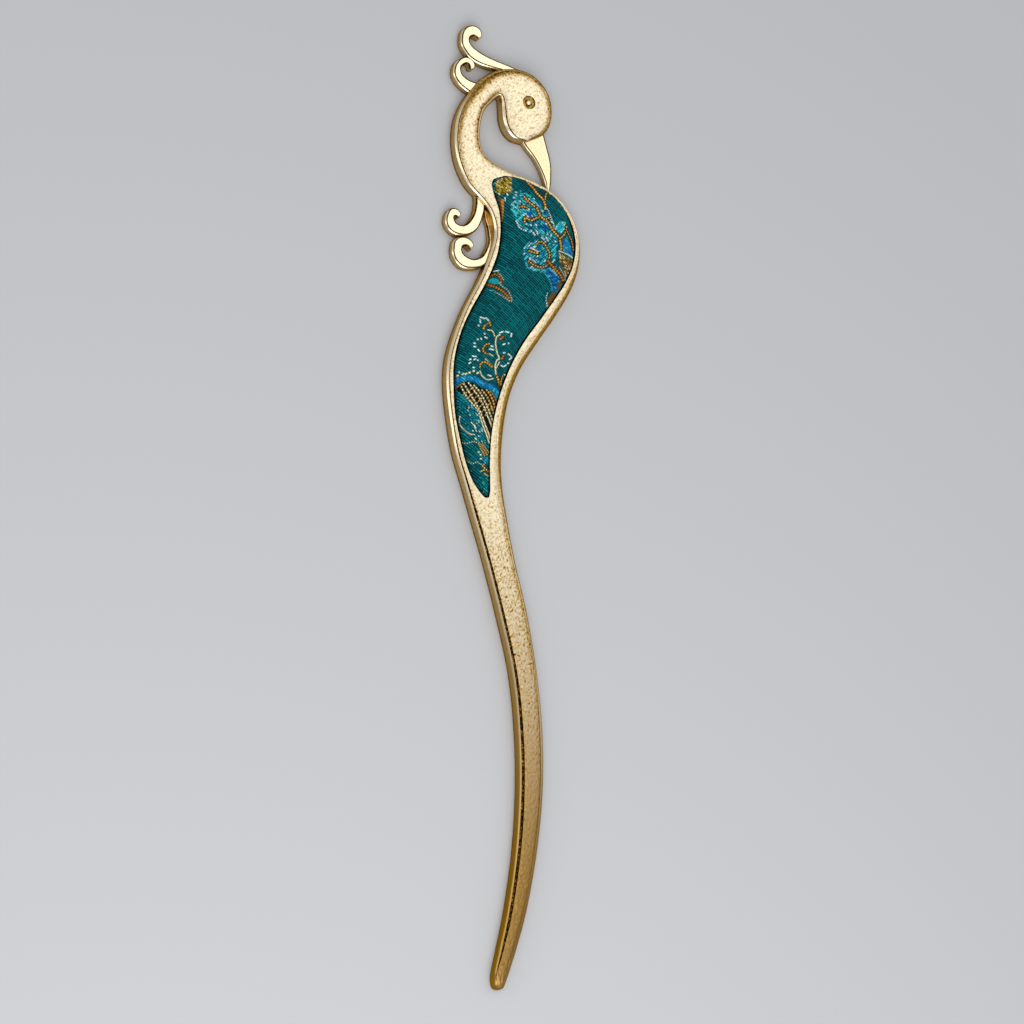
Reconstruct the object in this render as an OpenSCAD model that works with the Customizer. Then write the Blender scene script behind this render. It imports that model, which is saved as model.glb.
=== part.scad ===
// Hair stick: one cast metal piece with a crested bird's head, which frames a padded brocade panel.
// It lies on its flat back at Z = 0. +Z is the front, and +Y runs up the stick to the crest.

/* [Overall] */
// Length from the tip of the shaft to the top of the crest
length = 180; // [160:5:200]

/* [Casting] */
// Height of the front of the shaft, body and neck above the flat back
face_height = 2.6; // [2.2:0.1:3]
// Height of the crest, side curls and beak above the flat back
curl_height = 1.8; // [1.4:0.1:2]
// Extra height of the front along its middle
face_crown = 0.25; // [0:0.05:0.4]
// Width of the rounded edge, seen from the front
edge_width = 0.65; // [0.3:0.05:0.8]
// Width of the rounded edge on the curls and beak
curl_edge = 0.3; // [0.15:0.05:0.4]
// Share of the height that is an upright wall, below the rounded edge
wall_share = 0.5; // [0.3:0.05:0.7]
// Size of the bevel where the walls meet the back
back_bevel = 0.2; // [0.05:0.05:0.3]

/* [Panel] */
// Thickness of the metal floor under the padded panel
floor_thickness = 0.9; // [0.6:0.1:1.2]
// Clearance between the panel and its recess
panel_gap = 0.1; // [0.05:0.05:0.2]
// Height of the widest part of the panel above the frame
panel_rise = 1.8; // [0.8:0.1:2.4]
// Fullness of the panel's rounded top: 2 is an ellipse, and more is fuller at the edges
panel_fullness = 2.5; // [2:0.1:3]

/* [Eye] */
// Diameter of the ring sunk around the eye
eye_across = 2.5; // [2:0.1:3]
// Diameter of the bead in the middle of the eye
bead_across = 1.1; // [0.8:0.1:1.3]
// Depth of the ring
eye_depth = 0.5; // [0.2:0.1:0.7]

/* [Hidden] */

// The tables give a stick 180 mm long, with x across and y up from the tip, in millimetres.
// A section's columns are the left edge's x and y, the right edge's x and y, and its share of the height.
SHAFT = [
    [-3.85, 0, -2.4, 0, 0.5],
    [-4.35, 1.1, -2.05, 1.1, 0.75],
    [-4.3, 3, -1.4, 3, 0.9],
    [-3.3, 7.5, 0.1, 7.5, 0.95],
    [-1.8, 14.5, 2.05, 14.5, 1],
    [-0.25, 25, 4.05, 25, 1],
    [0.45, 36, 5.2, 36, 1],
    [0.2, 47, 5.15, 47, 1],
    [-1, 57.5, 4.05, 57.5, 1],
    [-3.5, 68, 2.2, 68, 1],
    [-6.3, 78, -0.3, 78, 1],
    [-8.8, 86, -1.9, 86, 1],
];
BODY = [
    [-10.4, 91.5, -2.8, 91, 1],
    [-12.05, 97, -3.15, 96.5, 1],
    [-13.25, 103, -2.65, 103, 1],
    [-14.05, 109, -1.45, 109, 1],
    [-13.95, 114, 0.65, 114.3, 1],
    [-12.6, 119, 3.9, 119.5, 1],
    [-10.3, 124.6, 7.5, 125, 1],
    [-7.5, 130, 11, 130.6, 1],
    [-5.6, 134.8, 12.8, 135.8, 1],
    [-4.65, 138.8, 12.8, 140.6, 1],
    [-4.8, 141.4, 11.5, 144.3, 1],
    [-5.8, 143.9, 9.4, 147.2, 1],
    [-7, 145.4, 6.4, 149.3, 1],
    [-8.2, 146.5, 3, 150.6, 1],
    [-9.2, 147.4, 0.2, 151.3, 1],
];
NECK = [
    [-10.4, 148.8, -2.3, 152.1, 1],
    [-11.6, 151.2, -4.9, 153.2, 1],
    [-12.4, 153.9, -6.7, 154.9, 1],
    [-12.7, 157, -7.4, 157.3, 1],
    [-12.4, 160.2, -7.3, 160, 1],
    [-11.4, 163.2, -6.6, 162.8, 1],
    [-9.7, 166.1, -5.1, 164.8, 1],
    [-7.2, 169.2, -3.8, 166, 1.05],
];
HEAD = [
    [-4.4, 171.1, -3.5, 166, 1.08],
    [-0.8, 171.9, -3.3, 165.6, 1.12],
    [2.6, 171.4, -3.25, 164.9, 1.15],
    [5.2, 169.6, -3.2, 164, 1.15],
    [6.8, 167, -3.15, 162.9, 1.15],
    [7.2, 164.2, -3, 161.7, 1.15],
    [6.8, 161.8, -2.6, 160.3, 1.15],
    [5.7, 160, -1.7, 159, 1.12],
    [4.2, 159.1, -0.5, 158.2, 1.08],
    [2.9, 158.5, 1.4, 157.9, 1],
];
BEAK = [
    [6.3, 149.6, 6.9, 149.3, 1],
    [5.9, 151.2, 7.3, 150.8, 1],
    [5.3, 152.8, 7.4, 152.3, 1],
    [4.5, 154.3, 7.4, 153.8, 1],
    [3.5, 155.7, 7.1, 155.7, 1],
    [2.2, 157.1, 6.5, 157.9, 1],
    [1, 158.6, 5.8, 160.4, 0.9],
];
RECESS = [
    [-6.6, 89, -5.9, 89.1, 1],
    [-7.5, 90, -5.45, 90.3, 1],
    [-8.8, 92.3, -5.35, 92.8, 1],
    [-10.1, 95.8, -5.25, 96.3, 1],
    [-11.3, 99.9, -4.95, 100.8, 1],
    [-12.2, 104.4, -4.2, 105.3, 1],
    [-12.55, 109, -2.9, 110.4, 1],
    [-12.55, 113.4, -0.9, 115.2, 1],
    [-11.9, 117.3, 1.6, 119.6, 1],
    [-10.6, 121.1, 4.4, 123.8, 1],
    [-8.8, 124.9, 7, 127.6, 1],
    [-6.8, 128.5, 9.4, 131, 1],
    [-5, 132.1, 11.2, 134.5, 1],
    [-3.8, 135.6, 11.9, 138, 1],
    [-3.3, 138.6, 11.7, 141, 1],
    [-3.2, 141.3, 10.7, 143.9, 1],
    [-3.6, 144, 8.8, 146.6, 1],
    [-4.5, 146.3, 6.1, 148.6, 1],
    [-5.2, 147.9, 3.1, 149.7, 1],
    [-5.3, 149.1, 0.2, 150.6, 1],
    [-4.9, 149.8, -2.6, 150.7, 1],
];
// A curl's columns are its middle line's x and y, its width and its share of the height, from root to end.
CREST_TALL = [
    [1.2, 171.7, 0.9, 1],
    [-1.4, 172.1, 1.5, 1],
    [-4.4, 172.7, 2.1, 1],
    [-6.8, 173.2, 2.15, 1],
    [-8.6, 174, 1.9, 1],
    [-9.95, 175.3, 1.8, 1],
    [-10.5, 176.8, 1.75, 1],
    [-10.2, 178.25, 1.7, 1],
    [-9.1, 179.1, 1.7, 1],
    [-8, 178.75, 1.6, 1],
    [-7.6, 177.9, 1.3, 1],
    [-7.85, 177.2, 0.8, 1],
];
CREST_LOW = [
    [-8.2, 168, 1.6, 1],
    [-9.9, 167.9, 1.8, 1],
    [-11.35, 168.75, 1.7, 1],
    [-12, 170.3, 1.6, 1],
    [-11.8, 171.75, 1.6, 1],
    [-10.75, 172.7, 1.55, 1],
    [-9.6, 172.45, 1.4, 1],
    [-9.1, 171.65, 1.05, 1],
    [-9.25, 171, 0.7, 1],
];
SIDE_UPPER = [
    [-7.3, 146.4, 2, 1],
    [-7.3, 144.8, 2.1, 1],
    [-7.5, 143.1, 2.2, 1],
    [-8, 141.7, 2.2, 1],
    [-9, 140.4, 2.2, 1],
    [-10.5, 139.75, 2.1, 1],
    [-12.05, 139.9, 2, 1],
    [-13.2, 140.95, 1.9, 1],
    [-13.45, 142.3, 1.65, 1],
    [-12.7, 143.1, 1.6, 1],
    [-11.7, 142.9, 1.3, 1],
    [-11.3, 142.3, 0.8, 1],
];
SIDE_LOWER = [
    [-5.7, 142.9, 0.8, 0.5],
    [-5, 140.9, 1, 0.6],
    [-4.45, 138.6, 1.2, 0.7],
    [-4.7, 136.8, 1.5, 0.85],
    [-5.8, 134.8, 1.9, 1],
    [-7.4, 133.4, 2.1, 1],
    [-9.2, 133.05, 2, 1],
    [-10.85, 133.55, 1.9, 1],
    [-11.8, 134.85, 1.75, 1],
    [-11.85, 136.45, 1.7, 1],
    [-11.05, 137.65, 1.6, 1],
    [-9.9, 137.6, 1.45, 1],
    [-9.2, 136.85, 1.1, 1],
    [-9.2, 136.2, 0.7, 1],
];
EYE_CENTRE = [2.05, 165.4];

// A smooth curve runs through the rows of a table, with this many sections from one row to the next.
STEPS = 3;
function nearest(rows, i) = rows[max(0, min(len(rows) - 1, i))];
function between(rows, i, u) =
    let (a = nearest(rows, i - 1), b = nearest(rows, i), c = nearest(rows, i + 1), d = nearest(rows, i + 2))
    0.5 * (2 * b + (c - a) * u + (2 * a - 5 * b + 4 * c - d) * u * u + (3 * b - a - 3 * c + d) * u * u * u);
function smooth(rows, steps) = concat(
    [for (i = [0:len(rows) - 2], k = [0:steps - 1]) between(rows, i, k / steps)],
    [rows[len(rows) - 1]]
);

// A curl's middle line becomes sections square to it.
function heading(line, i) =
    let (step = nearest(line, i + 1) - nearest(line, i - 1), along = [step[0], step[1]])
    along / norm(along);
function across(line) = [
    for (i = [0:len(line) - 1])
        let (h = heading(line, i), half = line[i][2] / 2)
        [
            line[i][0] - h[1] * half, line[i][1] + h[0] * half,
            line[i][0] + h[1] * half, line[i][1] - h[0] * half, line[i][3]
        ]
];

main_sections = smooth(concat(SHAFT, BODY, NECK, HEAD), STEPS);
beak_sections = smooth(BEAK, STEPS);
recess_sections = smooth(RECESS, STEPS);
curl_sections = [for (curl = [CREST_TALL, CREST_LOW, SIDE_UPPER, SIDE_LOWER]) across(smooth(curl, STEPS))];

// The drawn stick is centred on its box and scaled to its length.
edges = concat(main_sections, curl_sections[0], curl_sections[2]);
all_x = [for (s = edges) each [s[0], s[2]]];
all_y = [for (s = edges) each [s[1], s[3]]];
middle = [(min(all_x) + max(all_x)) / 2, (min(all_y) + max(all_y)) / 2];
size = length / (max(all_y) - min(all_y));
function placed(x, y) = [(x - middle[0]) * size, (y - middle[1]) * size];

// Half of a cast profile, from its back to its face, for a section of this width and height.
// A narrow section keeps its rounded edge and bevel to these shares of its width.
EDGE_TURN = 45;
EDGE_LIMIT = 0.35;
BEVEL_LIMIT = 0.2;
function cast_side(width, height, edge) =
    let (wall = wall_share * height)
    let (reach = min(edge, EDGE_LIMIT * width), bevel = min(back_bevel, BEVEL_LIMIT * width))
    [
        [bevel, 0],
        [0, bevel],
        [0, wall],
        [reach * (1 - cos(EDGE_TURN)), wall + (height - wall) * sin(EDGE_TURN)],
        [reach, height]
    ];
function mirrored(side, width) = [for (i = [len(side) - 1:-1:0]) [width - side[i][0], side[i][1]]];
CROWN_PLACES = [0.2, 0.5, 0.8];
function cast_profile(width, height, edge, crown) =
    let (side = cast_side(width, height, edge), flat = width - 2 * side[4][0])
    let (places = crown == 0 ? [] : CROWN_PLACES)
    concat(
        side,
        [for (f = places) [side[4][0] + f * flat, height + 4 * crown * f * (1 - f)]],
        mirrored(side, width)
    );

// The panel's profile: upright sides inside the recess, then a full rounded top
PANEL_PLACES = [-0.97, -0.88, -0.7, -0.4, 0, 0.4, 0.7, 0.88, 0.97];
FULL_WIDTH = 12;
function panel_top(f, rise) = rise * pow(1 - pow(abs(f), panel_fullness), 1 / panel_fullness);
function panel_profile(width) =
    let (bottom = floor_thickness + panel_gap, shoulder = face_height - panel_gap)
    let (rise = (panel_rise + panel_gap) * min(1, width / FULL_WIDTH))
    concat(
        [[0, bottom], [0, shoulder]],
        [for (f = PANEL_PLACES) [width * (1 + f) / 2, shoulder + panel_top(f, rise)]],
        [[width, shoulder], [width, bottom]]
    );
function recess_profile(width) =
    let (above = 2 * face_height)
    [[0, floor_thickness], [0, above], [width, above], [width, floor_thickness]];

// A profile stood up between the two edges of a section, pulled in from each by a margin
function start_of(section) = placed(section[0], section[1]);
function span_of(section) = placed(section[2], section[3]) - start_of(section);
function width_of(section, margin = 0) = norm(span_of(section)) - 2 * margin;
function middle_of(section) = start_of(section) + span_of(section) / 2;
function stood(section, profile, margin = 0) =
    let (start = start_of(section), span = span_of(section), way = span / norm(span))
    [for (p = profile) [start[0] + way[0] * (p[0] + margin), start[1] + way[1] * (p[0] + margin), p[1]]];

function cast_profiles(sections, height, edge, crown) =
    [for (s = sections) stood(s, cast_profile(width_of(s), height * s[4], edge, crown))];

// One solid swept through a row of stood-up profiles
module swept(profiles) {
    count = len(profiles[0]);
    last = len(profiles) - 1;
    start_cap = [for (k = [0:count - 1]) k];
    end_cap = [for (k = [count - 1:-1:0]) last * count + k];
    sides = [
        for (i = [0:last - 1], k = [0:count - 1])
            let (a = i * count + k, b = i * count + (k + 1) % count, c = b + count, d = a + count)
            each [[a, d, c], [a, c, b]]
    ];
    polyhedron(points = [for (p = profiles) each p], faces = concat([start_cap, end_cap], sides));
}

// A rounded end past a section, between a post inside the metal and a post at the section.
// It is a little narrower and lower than the metal that it rounds off.
ROUND_SHARE = 0.9;
LOW_SHARE = 0.95;
module post(place, across, height, edge) {
    translate(place) {
        cylinder(d = across, h = wall_share * height, $fn = 16);
        cylinder(d = across - 2 * min(edge, EDGE_LIMIT * across), h = height, $fn = 16);
    }
}
module round_end(section, before, height, edge) {
    across = ROUND_SHARE * width_of(section);
    low = LOW_SHARE * height * section[4];
    end = middle_of(section);
    step = end - middle_of(before);
    hull() {
        post(end - step / norm(step) * across / 2, across, low, edge);
        post(end, across, low, edge);
    }
}

module curl(sections) {
    last = len(sections) - 1;
    swept(cast_profiles(sections, curl_height, curl_edge, 0));
    round_end(sections[last], sections[last - 1], curl_height, curl_edge);
}

module beak() {
    swept(cast_profiles(beak_sections, curl_height, curl_edge, 0));
    round_end(beak_sections[0], beak_sections[1], curl_height, curl_edge);
}

// The eye's ring has sloping sides, and its bead is a short post with a round top.
EYE_SLOPE = 0.15;
CLEAR = 1;
module eye_ring() {
    centre = placed(EYE_CENTRE[0], EYE_CENTRE[1]);
    bottom = face_height * max([for (s = HEAD) s[4]]) + face_crown - eye_depth;
    translate([centre[0], centre[1], bottom])
        difference() {
            hull() {
                cylinder(d = eye_across - 2 * EYE_SLOPE, h = eye_depth, $fn = 32);
                translate([0, 0, eye_depth])
                    cylinder(d = eye_across, h = CLEAR, $fn = 32);
            }
            hull() {
                translate([0, 0, -CLEAR])
                    cylinder(d = bead_across, h = CLEAR, $fn = 24);
                sphere(d = bead_across, $fn = 24);
            }
        }
}

module cast_stick() {
    color("#e8cf98")
        difference() {
            union() {
                swept(cast_profiles(main_sections, face_height, edge_width, face_crown));
                beak();
                for (sections = curl_sections)
                    curl(sections);
                round_end(curl_sections[3][0], curl_sections[3][1], curl_height, curl_edge);
            }
            swept([for (s = recess_sections) stood(s, recess_profile(width_of(s)))]);
            eye_ring();
        }
}

module brocade_panel() {
    inner = [for (i = [1:len(recess_sections) - 2]) recess_sections[i]];
    color("#0b5c5e")
        swept([for (s = inner) stood(s, panel_profile(width_of(s, panel_gap)), panel_gap)]);
}

cast_stick();
brocade_panel();
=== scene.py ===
# %% [markdown]
# # A cast hair stick with a brocade panel
#
# This notebook builds a hair stick: one gold plated casting in the shape of a crested bird, and a padded
# panel of teal brocade that is glued into its body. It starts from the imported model, which fixes every
# size, and gives each part the fine shape and the finish that a plain solid lacks.

import math

import bmesh
import bpy
import numpy as np
from mathutils import Matrix, Vector, noise


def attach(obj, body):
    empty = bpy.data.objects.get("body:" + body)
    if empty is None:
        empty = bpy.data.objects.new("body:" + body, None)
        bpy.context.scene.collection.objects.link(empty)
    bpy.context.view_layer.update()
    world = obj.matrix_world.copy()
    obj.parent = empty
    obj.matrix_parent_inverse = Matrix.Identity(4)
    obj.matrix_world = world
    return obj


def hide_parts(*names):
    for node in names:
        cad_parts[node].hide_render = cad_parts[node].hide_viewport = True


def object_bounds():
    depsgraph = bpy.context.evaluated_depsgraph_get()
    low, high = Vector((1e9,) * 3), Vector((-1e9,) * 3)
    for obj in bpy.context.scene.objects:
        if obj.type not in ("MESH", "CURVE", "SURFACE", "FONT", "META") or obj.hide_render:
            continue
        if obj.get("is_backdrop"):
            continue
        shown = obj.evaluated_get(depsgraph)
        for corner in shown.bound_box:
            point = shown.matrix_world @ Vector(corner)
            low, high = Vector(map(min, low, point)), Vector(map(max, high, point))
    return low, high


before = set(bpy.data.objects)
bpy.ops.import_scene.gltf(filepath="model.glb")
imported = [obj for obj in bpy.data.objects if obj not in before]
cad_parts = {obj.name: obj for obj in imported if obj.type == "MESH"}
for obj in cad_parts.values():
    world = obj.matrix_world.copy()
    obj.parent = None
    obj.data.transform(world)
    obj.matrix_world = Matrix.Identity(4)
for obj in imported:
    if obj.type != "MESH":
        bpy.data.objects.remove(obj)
box_of_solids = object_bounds()
MM = 0.001
print("nodes:", sorted(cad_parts))
print("size in mm:", [round(v / MM, 1) for v in box_of_solids[1] - box_of_solids[0]])

# %% [markdown]
# ## The camera
#
# The photograph was taken from in front, from 24 degrees to the stick's left and 12 degrees below its
# middle, with a long lens. The stick lies on its back here, so the camera hangs over it at that same angle.
# The camera comes first, because the woven pattern is placed on the cloth through it.

# %% Set the camera
PHOTO_WIDTH = 1024
FOCAL_PIXELS = 3814
SENSOR_MM = 36
TURN_LEFT = math.radians(24)
TURN_DOWN = math.radians(12)
CAMERA_AWAY = 700 * MM
AIM = Vector((0.68, -2.47, 0)) * MM

towards_camera = Vector((
    -math.sin(TURN_LEFT) * math.cos(TURN_DOWN),
    -math.sin(TURN_DOWN),
    math.cos(TURN_LEFT) * math.cos(TURN_DOWN),
))
image_right = Vector((0, 1, 0)).cross(towards_camera).normalized()
image_up = towards_camera.cross(image_right)
eye = AIM + CAMERA_AWAY * towards_camera

camera_data = bpy.data.cameras.new("camera")
camera_data.sensor_width = SENSOR_MM
camera_data.lens = FOCAL_PIXELS / PHOTO_WIDTH * SENSOR_MM
camera_data.clip_end = 10
camera = bpy.data.objects.new("camera", camera_data)
bpy.context.scene.collection.objects.link(camera)
turned = Matrix((image_right, image_up, towards_camera)).transposed().to_4x4()
camera.matrix_world = Matrix.Translation(eye) @ turned
bpy.context.scene.camera = camera


def seen_at(points):
    """The photograph's pixels that points in metres are seen at."""
    away = np.asarray(points) - np.array(eye)
    depth = -(away @ np.array(towards_camera))
    across = FOCAL_PIXELS * (away @ np.array(image_right)) / depth
    up = FOCAL_PIXELS * (away @ np.array(image_up)) / depth
    return np.stack([PHOTO_WIDTH / 2 + across, PHOTO_WIDTH / 2 - up], axis=1)


print("lens:", round(camera_data.lens, 1), "mm, camera", round(eye.z / MM), "mm above the floor")

# %% [markdown]
# ## The drawing of the stick
#
# A casting like this starts as a drawing, cut in wax or metal. Each table below is a row of sections across
# one part of it. A section goes from its left edge to its right edge, looking along the rows, and has a
# share of the part's height. A smooth curve through the rows fills in the sections between them.

# %% Write the tables of the body
# Columns: left edge x and y, right edge x and y, share of the height. Millimetres up from the tip.
SHAFT = [
    [-3.45, 0, -2.8, 0, 0.4],
    [-4.0, 0.35, -2.25, 0.35, 0.62],
    [-4.35, 1.2, -2.0, 1.2, 0.8],
    [-4.3, 3, -1.4, 3, 0.9],
    [-3.3, 7.5, 0.1, 7.5, 0.95],
    [-1.8, 14.5, 2.05, 14.5, 1],
    [-0.25, 25, 4.05, 25, 1],
    [0.45, 36, 5.2, 36, 1],
    [0.2, 47, 5.15, 47, 1],
    [-1, 57.5, 4.05, 57.5, 1],
    [-3.5, 68, 2.2, 68, 1],
    [-6.3, 78, -0.3, 78, 1],
    [-8.8, 86, -1.9, 86, 1],
]
BODY = [
    [-10.5, 91.5, -2.7, 91, 1],
    [-12.25, 97, -3, 96.5, 1],
    [-13.4, 103, -2.45, 103, 1],
    [-14.1, 109, -1.2, 109, 1],
    [-13.95, 114, 1, 114.3, 1],
    [-12.7, 119, 4.3, 119.5, 1],
    [-10.5, 124.6, 8.05, 125, 1],
    [-7.75, 130, 11.35, 130.6, 1],
    [-5.75, 134.8, 12.95, 135.8, 1],
    [-4.65, 138.8, 12.8, 140.6, 1],
    [-4.8, 141.4, 11.5, 144.3, 1],
    [-5.8, 143.9, 9.4, 147.2, 1],
    [-7, 145.4, 6.4, 149.3, 1],
    [-8.2, 146.5, 3, 150.6, 1],
    [-9.2, 147.4, 0.2, 151.3, 1],
]
NECK = [
    [-10.4, 148.8, -2.3, 152.1, 1],
    [-11.6, 151.2, -4.9, 153.2, 1],
    [-12.4, 153.9, -6.7, 154.9, 1],
    [-12.7, 157, -7.4, 157.3, 1],
    [-12.4, 160.2, -7.3, 160, 1],
    [-11.4, 163.2, -6.6, 162.8, 1],
    [-9.7, 166.1, -5.1, 164.8, 1],
    [-7.2, 169.2, -3.8, 166, 1.05],
]
HEAD = [
    [-4.4, 171.1, -3.5, 166, 1.08],
    [-0.8, 171.9, -3.3, 165.6, 1.12],
    [2.6, 171.4, -3.25, 164.9, 1.15],
    [5.2, 169.6, -3.2, 164, 1.15],
    [6.8, 167, -3.15, 162.9, 1.15],
    [7.2, 164.2, -3, 161.7, 1.15],
    [6.8, 161.8, -2.6, 160.3, 1.15],
    [5.7, 160, -1.7, 159, 1.12],
    [4.2, 159.1, -0.5, 158.2, 1.08],
    [2.9, 158.5, 1.4, 157.9, 1],
]
BEAK = [
    [6.5, 149.3, 7, 149.1, 0.85],
    [6, 151, 7.4, 150.6, 0.85],
    [5.35, 152.7, 7.5, 152.2, 0.85],
    [4.5, 154.3, 7.5, 153.8, 0.85],
    [3.5, 155.7, 7.2, 155.7, 0.85],
    [2.2, 157.1, 6.6, 157.9, 0.85],
    [1, 158.6, 5.9, 160.4, 0.85],
]
RECESS = [
    [-6.6, 89, -5.9, 89.1, 1],
    [-7.7, 90, -5.6, 90.3, 1],
    [-9.25, 92.3, -5.6, 92.8, 1],
    [-10.6, 95.8, -5.6, 96.3, 1],
    [-11.65, 99.9, -5.25, 100.8, 1],
    [-12.55, 104.4, -4.45, 105.3, 1],
    [-12.85, 109, -2.95, 110.4, 1],
    [-12.85, 113.4, -0.9, 115.2, 1],
    [-12.15, 117.3, 1.6, 119.6, 1],
    [-10.9, 121.1, 4.65, 123.8, 1],
    [-9.1, 124.9, 7.3, 127.6, 1],
    [-7.1, 128.5, 9.55, 131, 1],
    [-5.35, 132.1, 11.2, 134.5, 1],
    [-4.1, 135.6, 11.9, 138, 1],
    [-3.6, 138.6, 11.7, 141, 1],
    [-3.5, 141.3, 10.7, 143.9, 1],
    [-3.85, 144, 8.8, 146.6, 1],
    [-4.7, 146.3, 6.1, 148.6, 1],
    [-5.2, 147.9, 3.1, 149.7, 1],
    [-5.3, 149.1, 0.2, 150.6, 1],
    [-4.9, 149.8, -2.6, 150.7, 1],
]

# %% Write the tables of the curls
# Columns: the two edges of the flat face, outer edge x and y, inner edge x and y, then the share of the
# height. The rows go from the root to the round end of the hook.
CREST_TALL = [
    [1.4, 170.7, 1.9, 171.9, 1],
    [-0.2, 171.3, 0.5, 172.2, 1],
    [-2.6, 171.8, -1.7, 172.8, 1],
    [-4.7, 172.1, -3.7, 173.3, 1],
    [-6.5, 172.4, -5.4, 173.8, 1],
    [-8.0, 172.9, -6.9, 174.4, 1],
    [-9.2, 173.6, -8.2, 175.1, 1],
    [-10.0, 174.5, -9.0, 175.8, 1],
    [-10.6, 175.4, -9.3, 176.4, 1],
    [-10.8, 176.5, -9.3, 176.8, 1],
    [-10.7, 177.7, -9.2, 177.1, 1],
    [-10.0, 178.8, -8.9, 177.3, 1],
    [-8.8, 179.4, -8.6, 177.4, 1],
    [-7.6, 179.1, -8.4, 177.4, 1],
    [-7.0, 178.2, -8.2, 177.3, 1],
    [-7.1, 177.5, -7.9, 177.2, 0.97],
    [-7.5, 177.1, -7.7, 177.1, 0.92],
]
CREST_LOW = [
    [-7.4, 166.2, -6.2, 168.2, 1],
    [-9.1, 166.7, -8.2, 168.5, 1],
    [-10.4, 167.4, -9.4, 168.8, 1],
    [-11.4, 168.2, -10.3, 169.3, 1],
    [-12.1, 169.2, -10.8, 169.8, 1],
    [-12.3, 170.2, -11.0, 170.4, 1],
    [-12.1, 171.2, -11.0, 171.0, 1],
    [-11.5, 172.1, -10.7, 171.4, 1],
    [-10.4, 173.0, -10.3, 171.7, 1],
    [-9.3, 172.9, -9.9, 171.8, 1],
    [-8.6, 172.3, -9.6, 171.6, 1],
    [-8.4, 171.6, -9.5, 171.3, 1],
    [-8.6, 171.1, -9.4, 171.0, 0.97],
    [-9.0, 170.9, -9.2, 170.9, 0.92],
]
SIDE_UPPER = [
    [-6.2, 148.4, -8.3, 148.4, 1],
    [-6.2, 146.6, -8.2, 146.6, 1],
    [-6.4, 145.1, -8.1, 145.0, 1],
    [-6.5, 143.8, -8.3, 143.7, 1],
    [-6.8, 142.7, -8.6, 142.7, 1],
    [-7.2, 141.5, -9.1, 141.8, 1],
    [-8.0, 140.2, -9.7, 141.1, 1],
    [-9.2, 139.3, -10.4, 140.6, 1],
    [-10.7, 138.9, -11.1, 140.5, 1],
    [-12.4, 139.1, -11.9, 140.8, 1],
    [-13.5, 140.1, -12.2, 141.2, 1],
    [-13.8, 141.3, -12.3, 141.6, 1],
    [-13.5, 142.5, -12.3, 141.8, 1],
    [-12.8, 143.3, -12.2, 141.9, 1],
    [-11.8, 143.3, -12.1, 141.9, 1],
    [-11.2, 142.6, -11.9, 141.8, 1],
    [-11.3, 142.1, -11.7, 141.8, 0.97],
    [-11.5, 141.9, -11.6, 141.9, 0.92],
]
SIDE_LOWER = [
    [-5.0, 144.4, -6.3, 144.2, 0.5],
    [-4.5, 142.6, -6.1, 142.4, 0.55],
    [-4.3, 140.9, -5.6, 140.8, 0.6],
    [-4.2, 139.3, -5.4, 139.2, 0.7],
    [-4.3, 138.0, -5.4, 138.0, 0.85],
    [-4.7, 136.9, -5.7, 137.0, 0.95],
    [-5.1, 135.6, -6.3, 135.8, 1],
    [-5.9, 134.1, -7.0, 134.9, 1],
    [-7.4, 133.1, -8.0, 134.4, 1],
    [-9.3, 132.7, -8.9, 134.3, 1],
    [-10.7, 132.9, -9.8, 134.6, 1],
    [-11.7, 133.7, -10.4, 135.0, 1],
    [-12.3, 134.8, -10.7, 135.5, 1],
    [-12.4, 135.9, -10.7, 136.0, 1],
    [-12.2, 137.1, -10.6, 136.3, 1],
    [-11.3, 137.9, -10.3, 136.5, 1],
    [-10.0, 138.1, -9.9, 136.5, 1],
    [-9.0, 137.6, -9.7, 136.4, 1],
    [-8.6, 136.9, -9.5, 136.2, 1],
    [-8.7, 136.4, -9.3, 136.1, 0.97],
    [-9.0, 136.0, -9.2, 136.0, 0.92],
]
EYE_CENTRE = (2.05, 165.4)

# %% [markdown]
# ## Smooth and even sections
#
# A flowing line can't be drawn point by point, so a curve is bent through the rows of each table, as a
# modelling program bends one through its points. The foot of a curl is wider than its flat face, most of
# all where it faces left or down, so its outer edge is moved out. Last the sections are spaced evenly,
# which makes the faces of the mesh much alike in size.

# %% Draw smooth sections from the tables
FINE_STEPS = 24


def smooth(rows, steps):
    """A smooth curve through the rows, with this many sections from one row to the next."""
    rows = np.array(rows, float)
    last = len(rows) - 1
    sections = []
    for i in range(last):
        a, b, c, d = (rows[min(max(k, 0), last)] for k in (i - 1, i, i + 1, i + 2))
        for u in np.arange(steps) / steps:
            bend = (c - a) * u + (2 * a - 5 * b + 4 * c - d) * u ** 2 + (3 * b - a - 3 * c + d) * u ** 3
            sections.append(b + bend / 2)
    return np.array(sections + [rows[last]])


# %% Give the curls their feet
TOWARDS_LOWER_LEFT = np.array([-0.89, -0.46])
FOOT_REACH = 0.2
FOOT_REACH_LEFT = 0.22
FOOT_REACH_DOWN = 0.3


def outward_and_facing(sections):
    """Each section's direction to its outer edge, and how far that faces the lower left, from -1 to 1."""
    outward = sections[:, 0:2] - sections[:, 2:4]
    outward /= np.linalg.norm(outward, axis=1)[:, None]
    return outward, outward @ TOWARDS_LOWER_LEFT


def footed(sections):
    """The sections of a curl from edge to edge of its foot, from those of its flat face."""
    outward = outward_and_facing(sections)[0]
    left = np.maximum(0, -outward[:, 0])
    down = np.maximum(0, -outward[:, 1])
    reach = FOOT_REACH + FOOT_REACH_LEFT * left + FOOT_REACH_DOWN * down
    sections[:, 0:2] += outward * reach[:, None]
    return sections


# %% Space the sections evenly
SPACING = 0.22


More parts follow.
